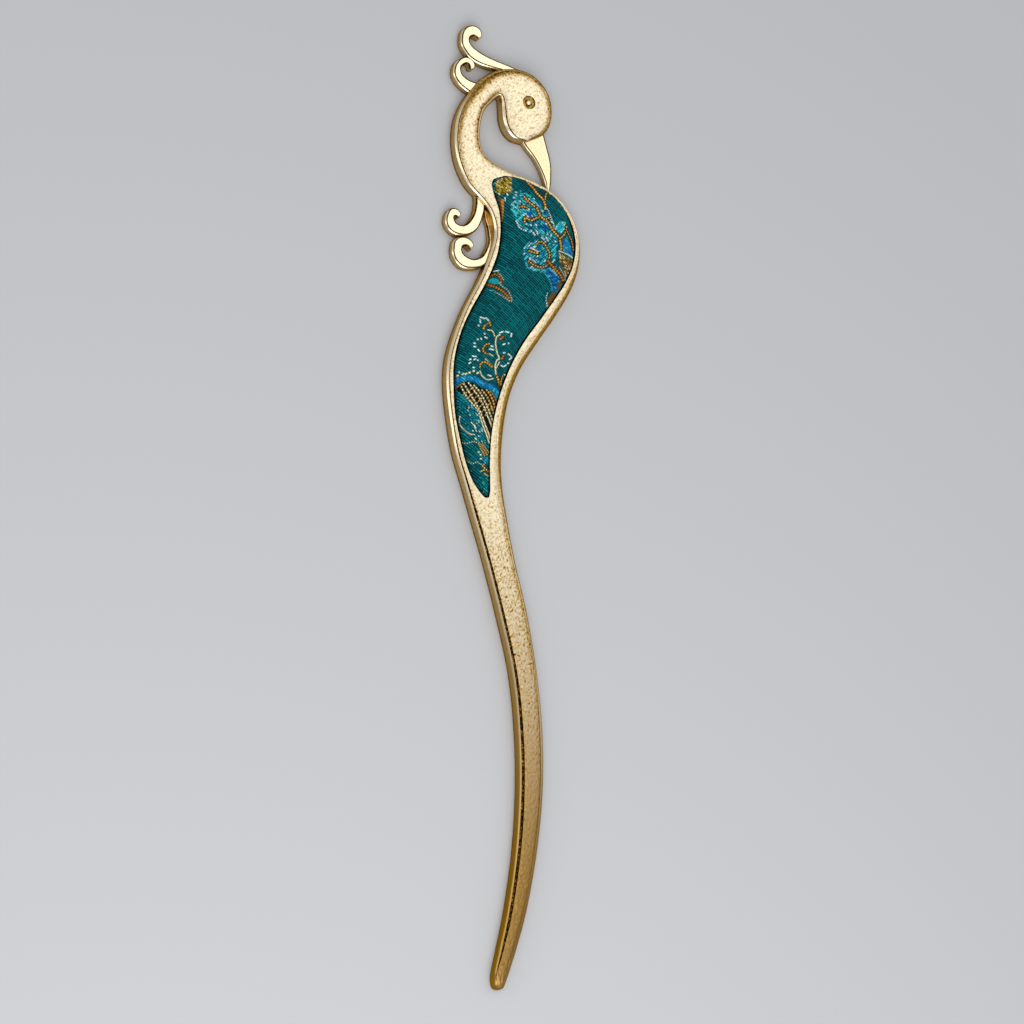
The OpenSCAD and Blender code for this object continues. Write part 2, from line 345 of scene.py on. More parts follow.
def evenly(sections, spacing):
    """The sections this far apart at the edge that travels faster, and the way gone along the middle."""
    steps = np.diff(sections[:, :4], axis=0)
    edge_steps = np.maximum(np.hypot(steps[:, 0], steps[:, 1]), np.hypot(steps[:, 2], steps[:, 3]))
    travel = np.concatenate([[0], np.cumsum(edge_steps)])
    middle_steps = np.hypot(steps[:, 0] + steps[:, 2], steps[:, 1] + steps[:, 3]) / 2
    along = np.concatenate([[0], np.cumsum(middle_steps)])
    wanted = np.linspace(0, travel[-1], int(round(travel[-1] / spacing)) + 1)
    even = np.stack([np.interp(wanted, travel, column) for column in sections.T], axis=1)
    return even, np.interp(wanted, travel, along)


drawn = {"body": smooth(SHAFT + BODY + NECK + HEAD, FINE_STEPS), "beak": smooth(BEAK, FINE_STEPS)}
for part, rows in (("crest_tall", CREST_TALL), ("crest_low", CREST_LOW),
                   ("side_upper", SIDE_UPPER), ("side_lower", SIDE_LOWER)):
    drawn[part] = footed(smooth(rows, FINE_STEPS))
gone_along = {}
for part in drawn:
    drawn[part], gone_along[part] = evenly(drawn[part], SPACING)
print("sections:", {part: len(sections) for part, sections in drawn.items()})

# %% Put the sections in the model's place
DRAWING_MIDDLE = np.array([-0.676, 89.966])
DRAWING_SCALE = 1.0004 * MM


def placed(points):
    """Points of the drawing, in metres in the model's own place."""
    return (np.asarray(points, float) - DRAWING_MIDDLE) * DRAWING_SCALE


def put_in_place(sections):
    """Moves both edges of each section to the model's own place."""
    sections[:, 0:2] = placed(sections[:, 0:2])
    sections[:, 2:4] = placed(sections[:, 2:4])


for sections in drawn.values():
    put_in_place(sections)
eye_centre = placed(EYE_CENTRE)
print("middle of the eye in mm:", np.round(eye_centre / MM, 2))

# %% [markdown]
# ## From sections to a shape
#
# The real stick is cast in one piece, so its parts flow into each other. Each part here is a grid whose
# rows are laid on the sections and whose columns follow a profile: up one wall, over the rounded edge,
# across the face and down the other wall. That keeps the faces in neat rows along the stick. Three fills
# then close the two ends and the flat back. The grid also carries two numbers to the material, as a UV map
# called marks: how much brown is there, antique wash and painted shade together, and how much sand grain
# the casting shows.


# %% Select pieces and vertices
def deselect_all():
    """Leaves nothing selected, because an operator acts on all that is."""
    if bpy.context.mode != "OBJECT":
        bpy.ops.object.mode_set(mode="OBJECT")
    bpy.ops.object.select_all(action="DESELECT")


def pick(piece):
    """Selects one piece and makes it active."""
    deselect_all()
    piece.select_set(True)
    bpy.context.view_layer.objects.active = piece


def select_vertices(piece, wanted):
    """Selects these vertices alone, in edit mode."""
    mesh = bmesh.from_edit_mesh(piece.data)
    mesh.verts.ensure_lookup_table()
    for vertex in mesh.verts:
        vertex.select = bool(wanted[vertex.index])
    mesh.select_flush(True)
    mesh.select_flush(False)
    bmesh.update_edit_mesh(piece.data)


def vertex_places(piece):
    """The places of a piece's vertices, as an array."""
    flat = np.zeros(len(piece.data.vertices) * 3)
    piece.data.vertices.foreach_get("co", flat)
    return flat.reshape(-1, 3)


# %% Lay a grid and close it
def sheet(name, places):
    """A grid laid on places, one for each row and column. Also gives the row and column of each vertex."""
    rows, columns = places.shape[:2]
    deselect_all()
    bpy.ops.mesh.primitive_grid_add(x_subdivisions=columns - 1, y_subdivisions=rows - 1, size=2)
    piece = bpy.context.object
    piece.name = name
    piece.data.name = name
    flat = vertex_places(piece)
    column = np.rint((flat[:, 0] + 1) / 2 * (columns - 1)).astype(int)
    row = np.rint((flat[:, 1] + 1) / 2 * (rows - 1)).astype(int)
    piece.data.vertices.foreach_set("co", places[row, column].ravel())
    return piece, row, column


def laid_grid(name, places, marks):
    """A closed piece: a sheet with its ends and its back filled."""
    piece, row, column = sheet(name, places)
    rows = len(places)
    piece.data.uv_layers.active.name = "marks"
    corners = np.zeros(len(piece.data.loops), int)
    piece.data.loops.foreach_get("vertex_index", corners)
    piece.data.uv_layers.active.data.foreach_set("uv", marks[row, column][corners].ravel())
    bpy.ops.object.mode_set(mode="EDIT")
    for end in (row == 0, row == rows - 1):
        select_vertices(piece, end)
        bpy.ops.mesh.edge_face_add()
    bpy.ops.mesh.select_all(action="DESELECT")
    bpy.ops.mesh.select_mode(type="EDGE")
    bpy.ops.mesh.select_non_manifold(extend=False)
    bpy.ops.mesh.edge_face_add()
    bpy.ops.mesh.select_mode(type="VERT")
    bpy.ops.mesh.select_all(action="SELECT")
    bpy.ops.mesh.normals_make_consistent(inside=False)
    bpy.ops.object.mode_set(mode="OBJECT")
    return piece


# %% Stand a profile on the sections
def stood(sections, profiles):
    """A profile's points, stood up between the two edges of each section."""
    start = sections[:, None, 0:2]
    span = sections[:, None, 2:4] - start
    way = span / np.linalg.norm(span, axis=2, keepdims=True)
    flat = start + way * profiles[:, :, 0:1]
    return np.concatenate([flat, profiles[:, :, 1:2]], axis=2)


# %% [markdown]
# ## The profile of the casting
#
# The edge of the real stick has four bands: an upright wall, a polished round, a fine dark line where the
# raised face steps up, and the sandy face itself. The wall keeps brown antiquing, and also gets painted shade
# that is darkest at its back. The dark line holds wash in the step, and where it is strong, on the left of
# the shaft, it is a painted dark reflection. The line is wide on the left of the shaft and thin on the frame
# of the body. The table below says how the bands change on the way from the tip to the beak. One function
# then gives the profile for any width and height.

# %% Write how the bands change along the stick
# Columns: way along the middle, then for the left side: width of the round and its brown, which is antique
# wash and painted shade, width and darkness of the line, which is wash and painted dark reflection, width and
# strength of the antique fade on the face. Then the same for the right side, with the width of a flat rim
# between its round and its line. Last the rise and the crown of the face. Millimetres, and shares of 1.
BANDS = [
    [0, 0.35, 0.1, 0.02, 0, 0.3, 0, 0.35, 0.1, 0.3, 0.02, 0, 0.3, 0, 0, 0.1],
    [2, 0.35, 0, 0.04, 0.9, 0.3, 0, 0.35, 0.1, 0.5, 0.03, 0, 0.3, 0, 0.02, 0.1],
    [6, 0.36, 0, 0.3, 1, 0.3, 0.1, 0.35, 0.1, 0.55, 0.05, 0.2, 0.3, 0, 0.08, 0.1],
    [13, 0.3, 0, 0.46, 1, 0.3, 0.1, 0.35, 0.1, 0.5, 0.08, 0.4, 0.3, 0.1, 0.14, 0.12],
    [30, 0.3, 0, 0.48, 1, 0.3, 0.15, 0.35, 0.1, 0.36, 0.12, 0.7, 0.3, 0.2, 0.16, 0.14],
    [48, 0.3, 0, 0.46, 1, 0.3, 0.15, 0.38, 0.2, 0.3, 0.12, 0.7, 0.3, 0.2, 0.16, 0.16],
    [60, 0.3, 0, 0.4, 1, 0.3, 0.15, 0.42, 0.95, 0.06, 0.04, 0.2, 0.5, 0.35, 0.16, 0.2],
    [87, 0.32, 0, 0.36, 1, 0.3, 0.15, 0.6, 0.95, 0.04, 0.03, 0.1, 0.6, 0.35, 0.16, 0.22],
    [96, 0.38, 0, 0.2, 0.95, 0.3, 0.2, 1, 0.9, 0.02, 0.02, 0.1, 0.5, 0.2, 0.12, 0.2],
    [105, 0.45, 0, 0.1, 0.9, 0.3, 0.05, 1.4, 0.85, 0.02, 0.02, 0, 0.5, 0.1, 0.06, 0.1],
    [135, 0.45, 0, 0.08, 0.8, 0.3, 0, 1.2, 0.85, 0.02, 0.02, 0, 0.5, 0.1, 0.06, 0.1],
    [144, 0.45, 0, 0.07, 0.8, 0.3, 0, 0.4, 0.6, 0.02, 0.02, 0, 0.5, 0.2, 0.06, 0.1],
    [157, 0.45, 0, 0.07, 0.8, 0.4, 0.1, 0.4, 0.6, 0.02, 0.03, 0.2, 0.5, 0.3, 0.08, 0.16],
    [164, 0.45, 0, 0.08, 0.9, 0.5, 0.35, 0.45, 0.6, 0.02, 0.03, 0.3, 0.6, 0.5, 0.12, 0.24],
    [172, 0.45, 0.1, 0.08, 0.85, 0.7, 0.6, 0.45, 0.6, 0.02, 0.03, 0.3, 0.6, 0.6, 0.14, 0.26],
    [178, 0.4, 0.5, 0.04, 0.6, 1, 0.85, 0.45, 0.5, 0.02, 0.03, 0.4, 0.6, 0.6, 0.14, 0.28],
    [183, 0.4, 0.7, 0.03, 0.4, 1, 0.8, 0.45, 0.2, 0.05, 0.05, 0.8, 0.3, 0.3, 0.14, 0.28],
    [188, 0.5, 0.6, 0.04, 0.5, 0.6, 0.6, 0.5, 0, 0.05, 0.09, 0.95, 0.25, 0.3, 0.14, 0.28],
    [196, 0.6, 0.5, 0.1, 1, 0.4, 0.5, 0.5, 0, 0.05, 0.1, 0.95, 0.25, 0.3, 0.14, 0.28],
]
bands = np.array(BANDS)


def bands_at(along):
    """The bands at one place along the stick."""
    return [float(np.interp(along, bands[:, 0], column)) for column in bands[:, 1:].T]


# %% Shape one side of a profile
BACK_BEVEL = 0.2
LINE_DEPTH = 0.1
LINE_SLOPE = 0.03
WALL_SHARE = 0.6
WALL_SHARE_BEVELLED = 0.2
# Brown on the wall, from the back up to the edge: antique wash, and painted shade that is darkest low down,
# where the wall meets the floor.
WALL_WASH_AND_SHADE = [0.9, 0.85, 0.55, 0.27, 0.3]
EDGE_FOOT = 0.25
LEAST_BROWN = 0.12
# Two edges, as shares of the edge's width and height: a bevel for the left, a full round for the right.
BEVELLED = np.array([
    [0.01, 0.25], [0.04, 0.45], [0.1, 0.57], [0.2, 0.65], [0.42, 0.75], [0.64, 0.855], [0.85, 0.95], [1, 1],
])
turns = np.radians([9, 18, 30, 42, 54, 66, 78, 90])
ROUNDED = np.stack([1 - np.cos(turns), np.sin(turns)], axis=1)


def side_profile(height, small, facing, edge, edge_wash_and_shade, inner_wash_and_shade, rim, line, line_wash_and_reflection, rise):
    """Half of a profile, from the back to the face. Columns: across, height, antique brown and painted shade,
    sand grain.
    """
    edge, rim, line, rise = edge * small, rim * small, line * small, rise * small
    bevel, slope = BACK_BEVEL * small, LINE_SLOPE * small
    depth = LINE_DEPTH * min(1, line_wash_and_reflection * 1.5) * small
    bevelled = min(1, max(0, 2 * facing))
    wall = (WALL_SHARE + WALL_SHARE_BEVELLED * bevelled) * height
    wall_places = [[bevel, 0], [0, bevel], [0, 0.25 * wall], [0, 0.5 * wall], [0, wall]]
    rows = [place + [brown, 0] for place, brown in zip(wall_places, WALL_WASH_AND_SHADE)]
    # The round's brown is antique wash and painted shade; near its foot it runs on from the wall's.
    for across, up in ROUNDED + (BEVELLED - ROUNDED) * bevelled:
        brown = edge_wash_and_shade + (inner_wash_and_shade - edge_wash_and_shade) * across
        brown += (WALL_WASH_AND_SHADE[-1] - edge_wash_and_shade) * max(0, 1 - across / EDGE_FOOT)
        rows.append([edge * across, wall + (height - wall) * up, max(LEAST_BROWN, brown), 0])
    # The line and the face's edge next to it: antique wash in the step, and a painted dark reflection where
    # the line is dark, as on the left of the shaft.
    start = edge + rim
    rows += [
        [start, height, max(0.15 * line_wash_and_reflection, inner_wash_and_shade), 0],
        [start + slope, height - depth, line_wash_and_reflection, 0],
        [start + slope + line, height - depth, line_wash_and_reflection, 0],
        [start + 2 * slope + line, height + 0.5 * rise, 0.9 * line_wash_and_reflection, 0.3],
        [start + 4 * slope + line, height + rise, 0.15 * line_wash_and_reflection, 1],
    ]
    return rows


# %% Shape the profile of the body
# Millimetres. Where a part is narrower than its full width, its bands narrow with it.
FACE_HEIGHT = 2.5
BODY_FULL_WIDTH = 3.6
LEFT_RIM = 0.02
FACE_COLUMNS = 27
face_places = (1 - np.cos(np.linspace(0, math.pi, FACE_COLUMNS + 2)[1:-1])) / 2
face_places = 0.5 * face_places + 0.5 * np.linspace(0, 1, FACE_COLUMNS + 2)[1:-1]


def mirrored(rows, width):
    """The right half of a profile, from the face to the back."""
    return [[width - across, up, brown, grain] for across, up, brown, grain in reversed(rows)]


def body_profile(width, section, along, facing):
    """A whole profile of the shaft, body, neck or head, in millimetres."""
    # The edge browns are antique wash, with painted shade on the sides turned from the light. The left line
    # is wash and a painted dark reflection.
    (left_edge, left_edge_wash_and_shade, left_line, left_line_wash_and_reflection, left_fade, left_brown,
     right_edge, right_edge_wash_and_shade, right_rim, right_line, right_dark, right_fade, right_brown,
     rise, crown) = bands_at(along)
    height = FACE_HEIGHT * section[4]
    small = min(1, width / BODY_FULL_WIDTH)
    left = side_profile(height, small, facing, left_edge, left_edge_wash_and_shade, left_edge_wash_and_shade, LEFT_RIM,
                        left_line, left_line_wash_and_reflection, rise)
    right = side_profile(height, small, -facing, right_edge, right_edge_wash_and_shade, 0.4 * right_edge_wash_and_shade,
                         right_rim, right_line, right_dark, rise)
    inner, top = left[-1][0], left[-1][1]
    outer = width - right[-1][0]
    face = []
    for f in face_places:
        place = inner + f * (outer - inner)
        lift = top + crown * (1 - abs(2 * f - 1) ** 3)
        brown = left_brown * math.exp(-((place - inner) / left_fade) ** 2)
        brown = max(brown, right_brown * math.exp(-((outer - place) / right_fade) ** 2))
        face.append([place, lift, brown, 1])
    return left + face + mirrored(right, width)


# %% Shape the profile of the curls and the beak
# Brown on a curl is antique wash and painted shade. The outer edge is polished and bright where it faces the
# lower left, towards the lights, and gets painted shade where it turns away; the inner edge keeps its brown.
# The low face where a curl runs down into the body gets painted shade too. The beak is a curl with a browner
# face.
CURL_HEIGHT = 1.76
CURL_FULL_WIDTH = 1.5
CURL_RISE = 0.02
CURL_BROWN = 0.12
BEAK_BROWN = 0.2


def curl_profile(width, section, along, facing, face_brown=CURL_BROWN):
    """A whole profile of a curl or the beak: a polished flat face inside a thin line, in millimetres."""
    height = CURL_HEIGHT * section[4]
    small = min(1, width / CURL_FULL_WIDTH)
    # Painted shade: a low face, near the body, gets more brown.
    low = face_brown + max(0, 1.2 * (0.85 - section[4]))
    # Painted shade: an outer edge turned away from the lower left, where the lights are, gets brown.
    left = min(1, max(0, 1.5 * facing))
    brown = 0.8 * (1 - left)
    one = side_profile(height, small, facing, 0.2 + 0.06 * facing, brown, brown, 0, 0.06 + 0.1 * left, 1,
                       CURL_RISE)
    other = side_profile(height, 0.8 * small, -facing, 0.24, 0.95, 0.95, 0, 0.12, 1, CURL_RISE)
    inner, top = one[-1][0], one[-1][1]
    outer = width - other[-1][0]
    face = [[inner + f * (outer - inner), top, low, 0] for f in np.linspace(0, 1, 9)[1:-1]]
    return [[across, up, brown, 0] for across, up, brown, grain in one + face + mirrored(other, width)]


def beak_profile(width, section, along, facing):
    """A whole profile of the beak, in millimetres."""
    return curl_profile(width, section, along, facing, BEAK_BROWN)


# %% [markdown]
# ## The sand grain
#
# The face of the real stick shows the grain of the sand that it was cast in: small ridges, drawn out into
# long streaks near the tip, and nearly smooth on the frame round the cloth. Bump in a material would be
# quicker, but it isn't in the mesh. So the points themselves are lifted by a noise whose cells have the
# size of the ridges, in millimetres. The brown wash stays in the hollows between them.

# %% Give the faces their grain
GRAIN_LONG = 0.46
GRAIN_WIDE = 0.3
GRAIN_HEIGHT = 0.08
STREAKS_UP_TO = 25
STREAKS_NARROWER = 0.04
STREAKS_LONGER = 1.5
FLOW_ACROSS = 1.3
FLOW = 1.2
FINE_GRAIN = 0.4
FINER_BY = 2.1
# How strong the grain is, by the way along the stick: full on the shaft, calm on the frame.
GRAIN_WAY = [80, 95, 150, 165]
GRAIN_SHARE = [1, 0.2, 0.3, 0.4]
HOLLOW = 0.04
HOLLOW_BROWN = 0.9


def grained(name, places, marks):
    """Gives the sandy faces their grain. The antique wash stays in its hollows."""
    along = gone_along[name]
    for row, column in np.argwhere(marks[:, :, 1] > 0.2):
        x, y = places[row, column, 0:2] / MM
        streak = max(0, 1 - along[row] / STREAKS_UP_TO)
        flow = noise.noise(Vector((x / FLOW_ACROSS, y / FLOW_ACROSS, 5))) * FLOW
        across = x / (GRAIN_WIDE - STREAKS_NARROWER * streak) + flow
        spot = Vector((across, y / (GRAIN_LONG * (1 + STREAKS_LONGER * streak)) + flow, 0))
        height = noise.noise(spot) + FINE_GRAIN * noise.noise(spot * FINER_BY)
        calm = np.interp(along[row], GRAIN_WAY, GRAIN_SHARE)
        places[row, column, 2] += GRAIN_HEIGHT * calm * height * MM
        marks[row, column, 0] += max(0, HOLLOW - height) * HOLLOW_BROWN * calm


# %% Cast the body
def cast_part(name, profile_of):
    """One part of the casting, from its drawn sections."""
    sections = drawn[name]
    widths = np.linalg.norm(sections[:, 2:4] - sections[:, 0:2], axis=1) / MM
    facing = outward_and_facing(sections)[1]
    profiles = np.array([
        profile_of(width, section, along, face)
        for width, section, along, face in zip(widths, sections, gone_along[name], facing)
    ])
    profiles[:, :, 0:2] *= MM
    places, marks = stood(sections, profiles), profiles[:, :, 2:4]
    grained(name, places, marks)
    return laid_grid(name, places, marks)


body = cast_part("body", body_profile)
print("body faces:", len(body.data.polygons))

# %% Cast the curls and the beak
small_parts = [cast_part(name, curl_profile) for name in drawn if name not in ("body", "beak")]
small_parts.append(cast_part("beak", beak_profile))
print("curls and beak faces:", [len(part.data.polygons) for part in small_parts])

# %% [markdown]
# ## The eye
#
# The eye is a ring sunk into the head with a round bead in its middle. On a real model it is pressed into
# the wax with a small tube. The grid of the head can't show it, because its rows don't run round the eye.
# So a bevelled cylinder cuts the ring out of the head, and the bead is a sphere joined to the bottom of it.

# %% Join or cut with another piece
def applied_boolean(piece, other, operation):
    """Joins or cuts with another closed piece, which is used up."""
    pick(piece)
    cut = piece.modifiers.new("cut", "BOOLEAN")
    cut.operation = operation
    cut.solver = "EXACT"
    cut.object = other
    bpy.ops.object.modifier_apply(modifier=cut.name)
    bpy.data.objects.remove(other)


# %% Press the ring
EYE_ACROSS = 2.6 * MM
EYE_DEPTH = 0.4 * MM
RING_BEVEL = 0.25 * MM
RING_INSET = 0.35 * MM
RING_WALL = 0.12 * MM
RING_BROWN = 0.9
SLOPE_BROWN = 0.72
# The head's height: its share of the face's height, the rise of its face, and the crown.
head_height = (FACE_HEIGHT * 1.15 + 0.14 + 0.28) * MM
bpy.ops.mesh.primitive_cylinder_add(
    vertices=48, radius=EYE_ACROSS / 2, depth=2 * MM,
    location=(eye_centre[0], eye_centre[1], head_height - EYE_DEPTH + 1 * MM),
)
ring = bpy.context.object
bpy.ops.object.transform_apply(location=True, rotation=False, scale=False)
lowest = vertex_places(ring)[:, 2].min()


def select_lowest_face():
    """Selects the face of the ring that lies deepest in the head."""
    for face in ring.data.polygons:
        face.select = all(abs(ring.data.vertices[k].co.z - lowest) < 1e-6 for k in face.vertices)


bpy.ops.object.mode_set(mode="EDIT")
bpy.ops.mesh.select_all(action="DESELECT")
bpy.ops.object.mode_set(mode="OBJECT")
select_lowest_face()
bpy.ops.object.mode_set(mode="EDIT")
bpy.ops.mesh.select_mode(type="FACE")
bpy.ops.mesh.bevel(offset=RING_BEVEL, segments=4, affect="EDGES")
bpy.ops.object.mode_set(mode="OBJECT")
select_lowest_face()
bpy.ops.object.mode_set(mode="EDIT")
bpy.ops.mesh.inset(thickness=RING_INSET)
bpy.ops.mesh.select_mode(type="VERT")
bpy.ops.object.mode_set(mode="OBJECT")
ring.data.uv_layers.active.name = "marks"
for face in ring.data.polygons:
    deep_or_steep = face.select or face.center.z - lowest > RING_WALL
    for corner in face.loop_indices:
        ring.data.uv_layers.active.data[corner].uv = (RING_BROWN if deep_or_steep else SLOPE_BROWN, 0)
print("faces of the cutter for the ring:", len(ring.data.polygons))
applied_boolean(body, ring, "DIFFERENCE")

# %% Set the bead
BEAD_ACROSS = 1.15 * MM
BEAD_LIFT = 0.05 * MM
bpy.ops.mesh.primitive_uv_sphere_add(
    segments=32, ring_count=20, radius=BEAD_ACROSS / 2,
    location=(eye_centre[0], eye_centre[1], head_height - EYE_DEPTH + BEAD_LIFT),
)
bead = bpy.context.object
bpy.ops.object.transform_apply(location=True, rotation=False, scale=False)
bead.data.uv_layers.active.name = "marks"
for corner in bead.data.uv_layers.active.data:
    corner.uv = (0, 0)
applied_boolean(body, bead, "UNION")
print("body faces with the eye:", len(body.data.polygons))

# %% [markdown]
# ## One casting
#
# Parts that only poke into each other would leave faces inside the metal. So they are joined by Boolean
# modifiers, and the casting is one closed skin, as the real one is. The recess for the brocade is cut from
# it in the same way, with a cutter that follows the drawing of the recess.

# %% Make the cutter for the recess
FLOOR_HEIGHT = 0.9 * MM
CUT_HEIGHT = 6 * MM
RECESS_SPACING = 0.5
recess_sections = evenly(smooth(RECESS, FINE_STEPS), RECESS_SPACING)[0]
put_in_place(recess_sections)
recess_widths = np.linalg.norm(recess_sections[:, 2:4] - recess_sections[:, 0:2], axis=1)
recess_profiles = np.array([
    [[0, FLOOR_HEIGHT, 1, 0], [0, CUT_HEIGHT, 1, 0], [width, CUT_HEIGHT, 1, 0], [width, FLOOR_HEIGHT, 1, 0]]
    for width in recess_widths
])
recess = laid_grid("recess", stood(recess_sections, recess_profiles), recess_profiles[:, :, 2:4])
print("faces of the cutter for the recess:", len(recess.data.polygons))

# %% Join the parts and cut the recess
for part in small_parts:
    applied_boolean(body, part, "UNION")
applied_boolean(body, recess, "DIFFERENCE")
body.name = "casting"
body.data.name = "casting"
print("joined faces:", len(body.data.polygons))

# %% Cut large faces into triangles
# The Boolean leaves faces of many corners along its cuts. Each of them is cut into well shaped triangles
# here, so that no program that reads the mesh has to guess, and none folds a sliver over its neighbour.
bpy.ops.object.mode_set(mode="EDIT")
bpy.ops.mesh.select_mode(type="FACE")
bpy.ops.mesh.select_face_by_sides(number=4, type="GREATER", extend=False)
bpy.ops.mesh.quads_convert_to_tris(quad_method="BEAUTY", ngon_method="BEAUTY")
bpy.ops.mesh.select_mode(type="VERT")
bpy.ops.object.mode_set(mode="OBJECT")
print("casting faces:", len(body.data.polygons))

# %% Smooth the casting
pick(body)
bpy.ops.object.shade_smooth_by_angle(angle=math.radians(40))
print("smooth faces:", sum(face.use_smooth for face in body.data.polygons))

# %% [markdown]
# ## The padded panel
#
# The panel is brocade wrapped over a shaped foam pad. Its sides plunge into the recess and its top is full
# and round. A flat sheet could be blown up into a pad by simulation alone, but then the settings decide its
# shape. Here it is drawn as a grid on the sections of the recess, a little inside them, with an arch from
# side to side, and the simulation only adds the tension of the cloth.

# %% Cut the panel's sections
# The panel stops a little short of both ends of the recess, and stays clear of its walls.
PANEL_GAP = 0.14 * MM
PANEL_SPACING = 0.26
panel_rows = smooth(RECESS, FINE_STEPS)[FINE_STEPS // 2:-FINE_STEPS // 4]
panel_sections = evenly(panel_rows, PANEL_SPACING)[0]
put_in_place(panel_sections)
span = panel_sections[:, 2:4] - panel_sections[:, 0:2]
panel_widths = np.linalg.norm(span, axis=1)
way = span / panel_widths[:, None]
panel_sections[:, 0:2] += way * PANEL_GAP
panel_sections[:, 2:4] -= way * PANEL_GAP
panel_widths -= 2 * PANEL_GAP
print("widest part of the panel in mm:", round(float(panel_widths.max() / MM), 1))

# %% Arch the panel
# The arch is fuller than half an ellipse, which has a fullness of 2. Its points are evenly spaced along it.
PANEL_COLUMNS = 76
FULLNESS = 2.6
ARCH_HALF_WIDTH = 3
turn = np.linspace(-1, 1, 401) * math.pi / 2
arch_heights = (1 - np.abs(np.sin(turn)) ** FULLNESS) ** (1 / FULLNESS)
arch = np.stack([np.sin(turn) * ARCH_HALF_WIDTH, arch_heights], axis=1)
walked = np.concatenate([[0], np.cumsum(np.linalg.norm(np.diff(arch, axis=0), axis=1))])
even_walk = np.linspace(0, walked[-1], PANEL_COLUMNS - 4)
place = np.interp(even_walk, walked, arch[:, 0]) / ARCH_HALF_WIDTH
top = np.interp(even_walk, walked, arch[:, 1])
print("points across the arch:", len(top))

# %% Lay the panel
PANEL_BOTTOM = 1.0 * MM
PANEL_SHOULDER = 2.2 * MM
PANEL_TOP = 4.15 * MM
FULL_WIDTH = 12 * MM
# Where the panel is narrower than its full width, it rises less. The deep fold at its sides, where no light
# comes in, gets painted shade from the material. It is wide on the left.
FOLD_SHADE_LEFT = 0.9
FOLD_SHADE_RIGHT = 0.15
rise = (PANEL_TOP - PANEL_SHOULDER) * np.minimum(1, panel_widths / FULL_WIDTH) ** 0.7
profiles = np.zeros((len(panel_sections), PANEL_COLUMNS, 4))
profiles[:, 2:-2, 0] = panel_widths[:, None] * (1 + place[None, :]) / 2
profiles[:, 2:-2, 1] = PANEL_SHOULDER + rise[:, None] * top[None, :]
profiles[:, -2:, 0] = panel_widths[:, None]
for outermost, next_to_it in ((0, 1), (-1, -2)):
    profiles[:, outermost, 1] = PANEL_BOTTOM
    profiles[:, next_to_it, 1] = (PANEL_BOTTOM + PANEL_SHOULDER) / 2
# Painted shade in the deep fold: marked fully up to the shoulder, and fading out over a band above it.
fold_shade_reach = np.where(np.arange(PANEL_COLUMNS) < PANEL_COLUMNS / 2, FOLD_SHADE_LEFT, FOLD_SHADE_RIGHT) * MM
profiles[:, :, 2] = np.clip(1 - (profiles[:, :, 1] - PANEL_SHOULDER) / fold_shade_reach[None, :], 0, 1)
panel_places = stood(panel_sections, profiles)
print("panel rows and columns:", panel_places.shape[:2])

# %% [markdown]
# ## The cloth swells
#
# The foam pushes the brocade outwards, most of all where the cloth isn't held. A sheet, a hundred times as
# large because cloth settings are made for metres, is blown up for 20 frames with its edges pinned. The
# movement is then taken over, up to a limit: 0.2 mm in most places, and more where the real cloth swells
# over the rim, at the upper right. A finer grid on smooth curves takes the place of a subdivision, which is
# slow on the back of the panel, a single face with hundreds of sides.

# %% Say how far the cloth may move
CAP = 0.2 * MM
CAP_AT_RIM = 0.45 * MM
# Where the cloth swells over the rim, by the row of the photograph's pixels.
RIM_ROWS = [176, 182, 208, 226]
RIM_SHARES = [0.4, 1, 1, 0]
rows, columns = panel_places.shape[:2]
from_top = seen_at(panel_places.reshape(-1, 3))[:, 1].reshape(rows, columns)
over_rim = np.interp(from_top, RIM_ROWS, RIM_SHARES)
right_share = np.clip(np.linspace(-1, 3, columns), 0, 1)[None, :]
cap = CAP + (CAP_AT_RIM - CAP) * over_rim * right_share
print("the cloth may move, in mm, by at most:", round(float(cap.max() / MM), 2))

# %% Blow up the panel
BLOWN_SCALE = 100
PRESSURE = 4
LAST_FRAME = 20
HELD_BELOW = 0.1 * MM
blown, row, column = sheet("blown", panel_places * BLOWN_SCALE)
held = blown.vertex_groups.new(name="held")
low = panel_places[row, column, 2] < PANEL_SHOULDER - HELD_BELOW
at_edge = low | (row == 0) | (row == rows - 1)
held.add([int(k) for k in np.nonzero(at_edge)[0]], 1, "REPLACE")
blowing = blown.modifiers.new("cloth", "CLOTH")
blowing.settings.vertex_group_mass = "held"
blowing.settings.use_pressure = True
blowing.settings.uniform_pressure_force = PRESSURE
blowing.settings.effector_weights.gravity = 0
blowing.point_cache.frame_start = 1
blowing.point_cache.frame_end = LAST_FRAME
for frame_number in range(1, LAST_FRAME + 1):
    bpy.context.scene.frame_set(frame_number)
pick(blown)
bpy.ops.object.modifier_apply(modifier=blowing.name)
moved = np.zeros_like(panel_places)
moved[row, column] = vertex_places(blown) / BLOWN_SCALE
moved -= panel_places
bpy.data.objects.remove(blown)
bpy.context.scene.frame_set(1)
far = np.linalg.norm(moved, axis=2)
print("the cloth wants to move, in mm, by at most:", round(float(far.max() / MM), 2))
panel_places += moved * (np.minimum(far, cap) / np.maximum(far, 1e-9))[:, :, None]

# %% Pull the cloth over the rim
OVER_RIM = 0.7 * MM
RIM_HEIGHT = 2.6 * MM
RIM_FADE = 0.3 * MM
above_rim = np.clip((panel_places[:, :, 2] - RIM_HEIGHT) / RIM_FADE, 0, 1)
pulled = OVER_RIM * over_rim * right_share * above_rim
panel_places[:, :, 0:2] += way[:, None, :] * pulled[:, :, None]
print("the cloth is pulled over the rim, in mm, by at most:", round(float(pulled.max() / MM), 2))


